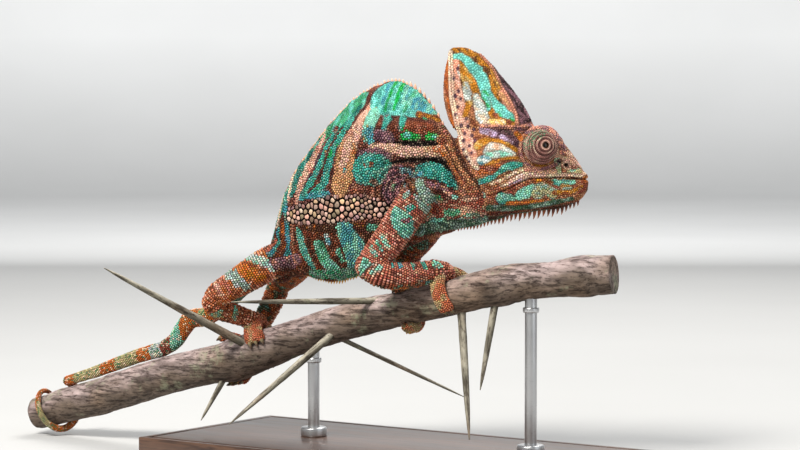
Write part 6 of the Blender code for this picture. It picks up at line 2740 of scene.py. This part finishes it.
class Nodes:
    """A short way to write a material's nodes."""

    def __init__(self, name: str) -> None:
        """Starts a material with a Principled shader."""
        self.material = bpy.data.materials.new(name)
        self.material.use_nodes = True
        self.tree = self.material.node_tree
        self.shader = self.tree.nodes["Principled BSDF"]

    def add(self, kind: str, inputs: dict | None = None, **settings: object) -> bpy.types.Node:
        """Adds a node, sets its properties, and sets or links its inputs.

        Args:
            kind: the node's type.
            inputs: values or sockets by input name.
            settings: the node's properties.

        Returns:
            The node.
        """
        node = self.tree.nodes.new(kind)
        for key, value in settings.items():
            setattr(node, key, value)
        for key, value in (inputs or {}).items():
            self.feed(node.inputs[key], value)
        return node

    def feed(self, socket: Socket, value: object) -> None:
        """Sets a socket, or links another to it."""
        if isinstance(value, Socket):
            self.tree.links.new(value, socket)
        else:
            socket.default_value = value

    def place(self, stretch: tuple[float, float, float] = (1, 1, 1), attribute: str = "") -> Socket:
        """Object coordinates, or an attribute's, stretched.

        Args:
            stretch: factors along the axes.
            attribute: the attribute's name, if any.

        Returns:
            The coordinates.
        """
        where = self.add("ShaderNodeTexCoord").outputs["Object"]
        if attribute:
            where = self.add("ShaderNodeAttribute", attribute_name=attribute).outputs["Vector"]
        return self.add("ShaderNodeMapping", {"Vector": where, "Scale": stretch}).outputs["Vector"]

    def noise(
        self, scale: float, detail: float = 4, vector: Socket | None = None, roughness: float = 0.55
    ) -> Socket:
        """A noise value.

        Args:
            scale: lumps per unit.
            detail: how many finer layers it has.
            vector: coordinates, by default those of the object.
            roughness: weight of the finer layers.

        Returns:
            The value.
        """
        inputs = {"Scale": scale, "Detail": detail, "Roughness": roughness, "Vector": vector or self.place()}
        return self.add("ShaderNodeTexNoise", inputs).outputs["Fac"]

    def ramp(self, value: Socket, stops: tuple) -> Socket:
        """Maps a value to colours given as (place, (r, g, b)).

        Args:
            value: what it maps.
            stops: the places and colours.

        Returns:
            The colour.
        """
        node = self.add("ShaderNodeValToRGB", {"Fac": value})
        elements = node.color_ramp.elements
        while len(elements) < len(stops):
            elements.new(0.5)
        for element, (place, colour) in zip(elements, stops):
            element.position, element.color = place, (*colour, 1)
        return node.outputs["Color"]

    def mix(self, share: object, first: object, second: object, blend: str = "MIX") -> Socket:
        """Mixes two colours.

        Args:
            share: how much of the second.
            first: a colour or socket.
            second: another.
            blend: the way of mixing.

        Returns:
            The colour.
        """
        node = self.add("ShaderNodeMix", data_type="RGBA", blend_type=blend)
        for index, value in ((0, share), (6, first), (7, second)):
            self.feed(node.inputs[index], value)
        return node.outputs[2]

    def spread(self, value: Socket, low: float, high: float) -> Socket:
        """Maps 0.3 to 0.7 onto low to high."""
        inputs = {"Value": value, "From Min": 0.3, "From Max": 0.7, "To Min": low, "To Max": high}
        return self.add("ShaderNodeMapRange", inputs).outputs["Result"]

    def bump(self, height: Socket, distance: float, strength: float = 0.5) -> None:
        """Adds bump to the shader."""
        inputs = {"Height": height, "Distance": distance, "Strength": strength}
        self.feed(self.shader.inputs["Normal"], self.add("ShaderNodeBump", inputs).outputs["Normal"])

    def finish(self, colour: object, roughness: object, **constants: float) -> bpy.types.Material:
        """Sets colour, roughness and constant sockets, and gives the material.

        Args:
            colour: a colour or socket.
            roughness: a number or socket.
            constants: numbers by socket name.

        Returns:
            The material.
        """
        self.feed(self.shader.inputs["Base Color"], colour)
        self.feed(self.shader.inputs["Roughness"], roughness)
        for key, value in constants.items():
            self.shader.inputs[key.replace("_", " ")].default_value = value
        return self.material


@dataclass(frozen=True)
class PaintedFinish:
    """Painted, slightly waxy casting: colour from the markings, which hold painted shade and highlights too,
    with fine mottling and grain.

    Attributes:
        name: the material's name.
        mottle: size of the mottling, per metre.
        contrast: how much it darkens.
        roughness: lowest and highest roughness.
        grain: bump distance in metres.
        coat: weight of the clear coat.
        shine: specular level.
    """

    name: str
    mottle: float = 900
    contrast: float = 0.3
    roughness: tuple[float, float] = (0.42, 0.6)
    grain: float = 0.00008
    coat: float = 0.0
    shine: float = 0.14

    def material(self) -> bpy.types.Material:
        """The material, made once.

        Returns:
            The material.
        """
        if self.name in bpy.data.materials:
            return bpy.data.materials[self.name]
        nodes = Nodes(self.name)
        colour = nodes.add("ShaderNodeAttribute", attribute_name="markings").outputs["Color"]
        fine = nodes.noise(self.mottle, 3)
        shade = nodes.ramp(fine, ((0.3, (0.62, 0.6, 0.6)), (0.7, (1, 1, 1))))
        dark = nodes.mix(1.0, colour, shade, "MULTIPLY")
        mixed = nodes.mix(self.contrast, colour, dark)
        nodes.bump(nodes.noise(self.mottle * 3, 2), self.grain)
        sheen = nodes.spread(nodes.noise(self.mottle / 4, 2), *self.roughness)
        shine = {"Coat_Weight": self.coat, "Coat_Roughness": 0.05, "Specular_IOR_Level": self.shine}
        return nodes.finish(mixed, sheen, **shine)


@dataclass(frozen=True)
class BarkFinish:
    """Dry bark: grey-brown streaks over the painted colours, with their painted highlight on the top, lichen
    and dark pits.
    """

    name: str = "dry_bark"

    def material(self) -> bpy.types.Material:
        """The material."""
        nodes = Nodes(self.name)
        tone = nodes.add("ShaderNodeAttribute", attribute_name="markings").outputs["Color"]
        streaks = nodes.noise(300, 6, nodes.place((0.2, 1, 1), "grain"), 0.65)
        pits = nodes.noise(900, 5, nodes.place((0.4, 1, 1), "grain"), 0.6)
        dark, middle, light = (0.42, 0.38, 0.36), (0.9, 0.88, 0.86), (1.35, 1.3, 1.3)
        shade = nodes.ramp(streaks, ((0.32, dark), (0.5, middle), (0.68, light)))
        base = nodes.mix(1.0, tone, shade, "MULTIPLY")
        specks = nodes.ramp(pits, ((0.36, (0.35, 0.3, 0.28)), (0.46, (1, 1, 1))))
        base = nodes.mix(0.8, base, nodes.mix(1.0, base, specks, "MULTIPLY"))
        lichen = nodes.ramp(nodes.noise(70, 5, roughness=0.7), ((0.58, (0, 0, 0)), (0.66, (1, 1, 1))))
        base = nodes.mix(nodes.mix(1.0, lichen, (0.55, 0.55, 0.55, 1), "MULTIPLY"), base, (0.3, 0.31, 0.2, 1))
        cracks = nodes.noise(620, 5, nodes.place((0.1, 1, 1), "grain"), 0.7)
        split = nodes.ramp(cracks, ((0.4, (0.3, 0.27, 0.26)), (0.47, (1, 1, 1))))
        base = nodes.mix(0.85, base, nodes.mix(1.0, base, split, "MULTIPLY"))
        height = nodes.mix(0.5, nodes.mix(0.5, streaks, pits), split)
        nodes.bump(height, 0.0011, 0.8)
        return nodes.finish(base, nodes.spread(streaks, 0.9, 0.68), Specular_IOR_Level=0.3)


@dataclass(frozen=True)
class WoodFinish:
    """Dark stained, satin-lacquered hardwood with a straight grain."""

    name: str = "stained_walnut"

    def material(self) -> bpy.types.Material:
        """The material."""
        nodes = Nodes(self.name)
        grain = nodes.noise(60, 6, nodes.place((0.22, 2.4, 2.4)), 0.62)
        pores = nodes.noise(700, 3, nodes.place((0.06, 1, 1)), 0.6)
        dark, middle, light = (0.032, 0.014, 0.008), (0.075, 0.034, 0.018), (0.13, 0.062, 0.033)
        base = nodes.ramp(grain, ((0.3, dark), (0.5, middle), (0.7, light)))
        specks = nodes.ramp(pores, ((0.36, (0.4, 0.36, 0.34)), (0.46, (1, 1, 1))))
        base = nodes.mix(1.0, base, specks, "MULTIPLY")
        nodes.bump(pores, 0.0001, 0.4)
        return nodes.finish(base, nodes.spread(grain, 0.36, 0.46), Coat_Weight=0.35, Coat_Roughness=0.2)


@dataclass(frozen=True)
class SteelFinish:
    """Brushed steel, with the brushing round the rods."""

    name: str = "brushed_steel"

    def material(self) -> bpy.types.Material:
        """The material."""
        nodes = Nodes(self.name)
        lines = nodes.noise(500, 3, nodes.place((0.4, 0.4, 9)), 0.6)
        marks = nodes.noise(45, 4)
        base = nodes.ramp(marks, ((0.3, (0.44, 0.44, 0.45)), (0.7, (0.58, 0.58, 0.58))))
        nodes.bump(lines, 0.00003, 0.5)
        return nodes.finish(base, nodes.spread(lines, 0.26, 0.4), Metallic=1.0)


@dataclass(frozen=True)
class PaperFinish:
    """The studio's pale, seamless paper."""

    name: str = "studio_paper"

    def material(self) -> bpy.types.Material:
        """The material."""
        nodes = Nodes(self.name)
        tone = nodes.ramp(nodes.noise(2, 3), ((0.3, (0.74, 0.74, 0.73)), (0.7, (0.79, 0.79, 0.78))))
        up = nodes.add("ShaderNodeSeparateXYZ", {"Vector": nodes.place()}).outputs["Z"]
        # painted light: the paper is painted darker on the floor and lighter up the wall
        wash = nodes.ramp(up, ((0.0, (0.72, 0.72, 0.72)), (0.3, (1.12, 1.12, 1.12))))
        return nodes.finish(nodes.mix(1.0, tone, wash, "MULTIPLY"), 0.9, Specular_IOR_Level=0.1)


Finish = PaintedFinish | BarkFinish | WoodFinish | SteelFinish | PaperFinish


# ---------------------------------------------------------------- perch and stand


@dataclass
class Perch:
    """The cut branch that the animal grips, with its thorns."""

    branch: Branch
    sides: int = 60
    pace: float = 1.4
    grain: float = 0.85
    knots: tuple[tuple[float, float], ...] = ((-114, 0.5), (-20, 0.3), (48, 0.5), (91, 0.6), (-206, 0.3))

    @staticmethod
    def colour(piece: Piece, low: tuple, high: tuple) -> None:
        """Paints tops with a painted highlight, sides grey-brown and undersides with painted shade.

        Args:
            piece: the branch or the thorns.
            low: linear colour of the underside, darkened as painted shade.
            high: linear colour of the top, lightened as a painted highlight.
        """
        points, normals = points_of(piece), normals_of(piece)
        colours = tiled(np.array(low), len(points))
        # painted highlight on faces turned up and painted shade on faces turned down
        blend(colours, np.array(high), step_between(-0.3, 0.95, normals[:, 2] + 0.3 * noise(points, 9, 71)))
        blend(colours, np.array((0.24, 0.165, 0.11)), 0.5 * step_between(0.1, 0.7, noise(points, 14, 72)))
        paint(piece, colours * (1 + 0.25 * noise(points, 3, 73))[:, None])

    def trunk(self) -> Piece:
        """The branch with ridged bark, swollen nodes and sawn ends.

        Returns:
            The branch.
        """
        line = spline(self.branch.line, 16)
        starts = distances_along(line)
        places = np.linspace(0, starts[-1], int(starts[-1] / self.pace))
        line = np.column_stack([np.interp(places, starts, line[:, k]) for k in range(4)])
        # sawn ends: three narrowing rings at each, a little way out
        out, narrow = np.array(((0.1,), (0.08,), (0.04,))), np.array(((0.15,), (0.5,), (0.9,)))
        first, last = (
            np.hstack([end[:3] + (end - inner)[:3] * out, end[3] * narrow])
            for end, inner in ((line[0], line[1]), (line[-1], line[-2]))
        )
        whole = np.vstack([first, line, last[::-1]])
        _, side, other = sweep_frames(whole[:, :3], np.array((0.0, -1.0, 0.15)))
        along = np.repeat(whole[:, 0], self.sides)
        round_way = np.tile(2 * np.pi * np.arange(self.sides) / self.sides, len(whole))
        grid = np.column_stack([along / 9, 1.9 * np.cos(round_way), 1.9 * np.sin(round_way)])
        lift = 0.42 * noise(grid, 1, 74) + 0.24 * noise(grid * (3, 2.2, 2.2), 1, 75)
        lift += 0.12 * noise(grid * (8, 5, 5), 1, 76)
        for knot, height in self.knots:
            lift += height * np.exp(-(((along - knot) / 4) ** 2))
            lift -= 0.3 * np.exp(-(((along - knot - 5.5 + 0.8 * np.cos(round_way)) / 0.8) ** 2))
        radius = np.repeat(whole[:, 3], self.sides)
        radius = radius + np.clip(lift * self.grain, -0.9, 0.35) * np.clip(radius / 8, 0, 1)
        ways = circle(self.sides, side, other).reshape(-1, 3)
        points = np.repeat(whole[:, :3], self.sides, axis=0) + ways * radius[:, None]
        piece = mesh_from("perch_bark", points, rings_to_faces(len(whole), self.sides))
        paint(piece, points * MM, "grain")
        return piece

    def thorns(self) -> Piece:
        """Long woody thorns with flared roots.

        Returns:
            The thorns, joined.
        """
        made = []
        for number, (x, rise, *tip, radius) in enumerate(self.branch.thorns):
            root = self.branch.at(x)[0] + (0, 0, rise)
            way = np.array(tip, float) - root
            rows = [(*(root + way * share), radius * width) for share, width in self.branch.thorn_profile]
            line = spline(rows, 8)
            line[:, 3] *= 1 + 0.07 * noise(line[:, :3], 4, 77)
            thorn = tube(f"thorn_{number}", domed(line, start=False), 20)
            along = unit(way)
            first = unit(np.cross(along, (0.2, 0.9, 0.4)))
            frame = np.column_stack([along, first, np.cross(along, first)])
            paint(thorn, (points_of(thorn) @ frame + 40 * number) * MM, "grain")
            made.append(thorn)
        return joined("perch_thorns", made)

    def build(self, finish: BarkFinish) -> list[Piece]:
        """Both pieces of the perch.

        Args:
            finish: the bark.

        Returns:
            The branch and the thorns.
        """
        made = [self.trunk(), self.thorns()]
        # painted shade underneath and a painted highlight on top, for the branch and for the thorns
        painted_light_tones = (((0.14, 0.105, 0.08), (0.44, 0.35, 0.34)), ((0.16, 0.15, 0.11), (0.5, 0.47, 0.38)))
        for piece, (low, high) in zip(made, painted_light_tones):
            face_outward(piece)
            self.colour(piece, low, high)
            dress(piece, finish, "bark", "perch_branch")
        return made


@dataclass
class Stand:
    """A flat base with a stepped edge, and two rods with collars under the perch."""

    rods: tuple[str, ...] = ("front", "rear")
    # the base, in metres: its corners, and the step and the groove round its top
    corner: float = 0.014
    rim: float = 0.003
    step: float = 0.0012
    groove: float = 0.0006
    field_rim: float = 0.0015
    # the collars at a rod's foot and below the perch
    collar_radius: float = 0.0068
    collar_height: float = 0.005
    neck_share: float = 1.35
    neck_height: float = 0.0026
    neck_drop: float = 0.011

    @staticmethod
    def soften(piece: Piece, width: float, segments: int) -> None:
        """Rounds the sharp edges."""
        limit = {"limit_method": "ANGLE", "angle_limit": math.radians(40)}
        apply_modifier(piece, "BEVEL", width=width, segments=segments, **limit)

    @staticmethod
    def shade(piece: Piece) -> None:
        """Shades it smooth except at its edges."""
        activate(piece)
        bpy.ops.object.shade_smooth_by_angle(angle=math.radians(35))

    def base(self, finish: WoodFinish) -> Piece:
        """The base: a block with rounded corners, a shallow step and softened edges.

        Args:
            finish: the wood.

        Returns:
            The dressed base.
        """
        low, high = (Vector(corner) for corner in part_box("stand_base"))
        size, middle = high - low, (high + low) / 2
        deselect()
        bpy.ops.mesh.primitive_cube_add(size=1, location=middle, scale=size)
        piece = bpy.context.object
        piece.name = piece.data.name = "display_base"
        bpy.ops.object.transform_apply()
        bpy.ops.object.mode_set(mode="EDIT")
        shape = bmesh.from_edit_mesh(piece.data)
        for edge in shape.edges:
            upright = abs(edge.verts[0].co.z - edge.verts[1].co.z) > size.z / 2
            edge.select_set(upright)
        bmesh.update_edit_mesh(piece.data)
        bpy.ops.mesh.bevel(offset=self.corner, segments=14, offset_type="OFFSET")
        bpy.ops.mesh.select_all(action="DESELECT")
        bpy.ops.mesh.select_mode(type="FACE")
        shape = bmesh.from_edit_mesh(piece.data)
        for face in shape.faces:
            face.select_set(face.normal.z > 0.9)
        bmesh.update_edit_mesh(piece.data)
        bpy.ops.mesh.inset(thickness=self.rim)
        bpy.ops.mesh.extrude_region_move(TRANSFORM_OT_translate={"value": (0, 0, -self.step)})
        bpy.ops.mesh.inset(thickness=self.groove)
        bpy.ops.mesh.inset(thickness=self.field_rim)
        bpy.ops.mesh.extrude_region_move(TRANSFORM_OT_translate={"value": (0, 0, self.step)})
        bpy.ops.object.mode_set(mode="OBJECT")
        self.soften(piece, 0.0005, 3)
        self.shade(piece)
        return dress(piece, finish, "base_wood", "stand_base")

    def rod(self, name: str, finish: SteelFinish) -> Piece:
        """A round rod with a collar at its foot and a slim one below the perch.

        Args:
            name: the rod's name.
            finish: the steel.

        Returns:
            The dressed rod.
        """
        low, high = (Vector(corner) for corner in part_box(f"stand_rod_{name}"))
        centre, radius = (low + high) / 2, (high.x - low.x) / 2
        base_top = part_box("stand_base")[1][2]
        shapes = (
            (radius, high.z - low.z, centre.z, 0.0003),
            (self.collar_radius, self.collar_height, base_top + self.collar_height / 2 - 0.0002, 0.001),
            (radius * self.neck_share, self.neck_height, high.z - self.neck_drop, 0.0006),
        )
        made = []
        for reach, height, level, soft in shapes:
            deselect()
            bpy.ops.mesh.primitive_cylinder_add(
                vertices=64, radius=reach, depth=height, location=(centre.x, centre.y, level)
            )
            piece = bpy.context.object
            bpy.ops.object.transform_apply()
            self.soften(piece, soft, 4)
            made.append(piece)
        whole = joined(f"display_rod_{name}", made)
        self.shade(whole)
        return dress(whole, finish, "rod", f"stand_rod_{name}")

    def build(self, wood: WoodFinish, steel: SteelFinish) -> list[Piece]:
        """The base and both rods."""
        return [self.base(wood), *(self.rod(name, steel) for name in self.rods)]


# ---------------------------------------------------------------- studio


@dataclass(frozen=True)
class Lamp:
    """A square soft light aimed at the animal, or away from it at the wall.

    Attributes:
        name: its name.
        turn, rise: degrees from the camera, and above the level.
        distance, size: metres from the animal, and across.
        power, tint: watts and colour.
        away: whether it faces the wall.
    """

    name: str
    turn: float
    rise: float
    distance: float
    size: float
    power: float
    tint: tuple[float, float, float]
    away: bool = False


@dataclass
class Studio:
    """Camera, lights and a round, seamless backdrop, in metres and degrees."""

    aim: tuple[float, float, float] = (-0.00614, -0.0043, 0.123)
    azimuth: float = 35
    elevation: float = 3
    distance: float = 1.3
    lens: float = 117
    floor_radius: float = 3.4
    curve_radius: float = 1.1
    sides: int = 96
    lamps: tuple[Lamp, ...] = (
        Lamp("key", -38, 46, 1.6, 0.45, 36, (1, 0.97, 0.92)),
        Lamp("fill", 55, 18, 1.9, 1.2, 6, (0.9, 0.95, 1)),
        Lamp("rim", 165, 48, 1.5, 0.6, 14, (1, 0.98, 0.95)),
        Lamp("wash", 180, 42, 1.7, 1.6, 60, (1, 1, 1), away=True),
    )

    def way(self, turn: float, rise: float) -> Vector:
        """The direction from the animal at angles from the camera's azimuth and from the level."""
        turn, rise = math.radians(self.azimuth + turn), math.radians(rise)
        return Vector((math.sin(turn) * math.cos(rise), -math.cos(turn) * math.cos(rise), math.sin(rise)))

    def camera(self) -> None:
        """The camera, aimed at the trunk."""
        data = bpy.data.cameras.new("camera")
        data.lens, data.sensor_width = self.lens, 36
        camera = bpy.data.objects.new("camera", data)
        back = self.way(0, self.elevation)
        camera.location = Vector(self.aim) + back * self.distance
        camera.rotation_euler = back.to_track_quat("Z", "Y").to_euler()
        bpy.context.scene.collection.objects.link(camera)
        bpy.context.scene.camera = camera

    def shine(self, lamp: Lamp) -> None:
        """Hangs a square soft light."""
        data = bpy.data.lights.new(lamp.name, "AREA")
        data.size, data.energy, data.color = lamp.size, lamp.power, lamp.tint
        way = self.way(lamp.turn, lamp.rise)
        light = bpy.data.objects.new(lamp.name, data)
        light.location = Vector(self.aim) + way * lamp.distance
        facing = -way * Vector((1, 1, 0.2)) if lamp.away else way
        light.rotation_euler = facing.to_track_quat("Z", "Y").to_euler()
        bpy.context.scene.collection.objects.link(light)

    def backdrop(self, finish: PaperFinish) -> Piece:
        """A floor that curves up into a low wall all round.

        Args:
            finish: the paper.

        Returns:
            The backdrop.
        """
        turns = np.radians(np.linspace(0, 90, 13))
        off = np.concatenate([[0.02, 0.6, 1.8], self.floor_radius + self.curve_radius * np.sin(turns)])
        up = np.concatenate([[0, 0, 0], self.curve_radius * (1 - np.cos(turns))])
        ring = circle(self.sides, np.array((1, 0, 0)), np.array((0, 1, 0)))
        points = np.vstack([radius * ring + (0, 0, height) for radius, height in zip(off, up)])
        faces = rings_to_faces(len(off), self.sides, closed_ends=False) + [tuple(range(self.sides))]
        obj = mesh_from("studio_floor", points / MM, faces)
        obj.data.materials.append(finish.material())
        return obj

    def build(self) -> None:
        """Sets up the whole studio."""
        self.camera()
        self.backdrop(PaperFinish())
        for lamp in self.lamps:
            self.shine(lamp)
        world = bpy.data.worlds.new("studio_air")
        bpy.context.scene.world = world
        world.use_nodes = True
        inputs = world.node_tree.nodes["Background"].inputs
        inputs["Color"].default_value, inputs["Strength"].default_value = (0.93, 0.96, 1, 1), 0.46
        bpy.context.scene.view_settings.view_transform = "Standard"


# ---------------------------------------------------------------- the model


def report(pieces: list[Piece]) -> None:
    """Logs each piece and its triangles."""
    for piece in pieces:
        triangles = sum(len(face.vertices) - 2 for face in piece.data.polygons)
        LOG.info("%s: %d triangles", piece.name, triangles)


def main() -> None:
    """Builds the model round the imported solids."""
    logging.basicConfig(level=logging.INFO, format="%(message)s")
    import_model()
    anatomy = Anatomy(PlanCurve(), BodyForm(), Branch(), Legs(), Tail())
    markings = Markings()
    scales = PaintedFinish("scales")
    skin = Skin(anatomy).build(markings, PaintedFinish("soft_skin", roughness=(0.6, 0.75), shine=0.04))
    report([skin])
    shell = surface_of(skin)
    report(Coat(anatomy, markings).build(skin, scales))
    report(Crests(anatomy).build(shell, scales))
    report(Claws(anatomy).build(PaintedFinish("claws", roughness=(0.25, 0.4), shine=0.5)))
    eyeballs = PaintedFinish("eyeballs", roughness=(0.1, 0.16), grain=0, coat=0.15, shine=0.3)
    for side in (-1, 1):
        eye = Eye(anatomy.plan, side)
        report([eye.build_turret(scales), eye.build_ball(eyeballs)])
    report(Perch(anatomy.branch).build(BarkFinish()))
    report(Stand().build(WoodFinish(), SteelFinish()))
    Studio().build()


if __name__ == "__main__":
    main()
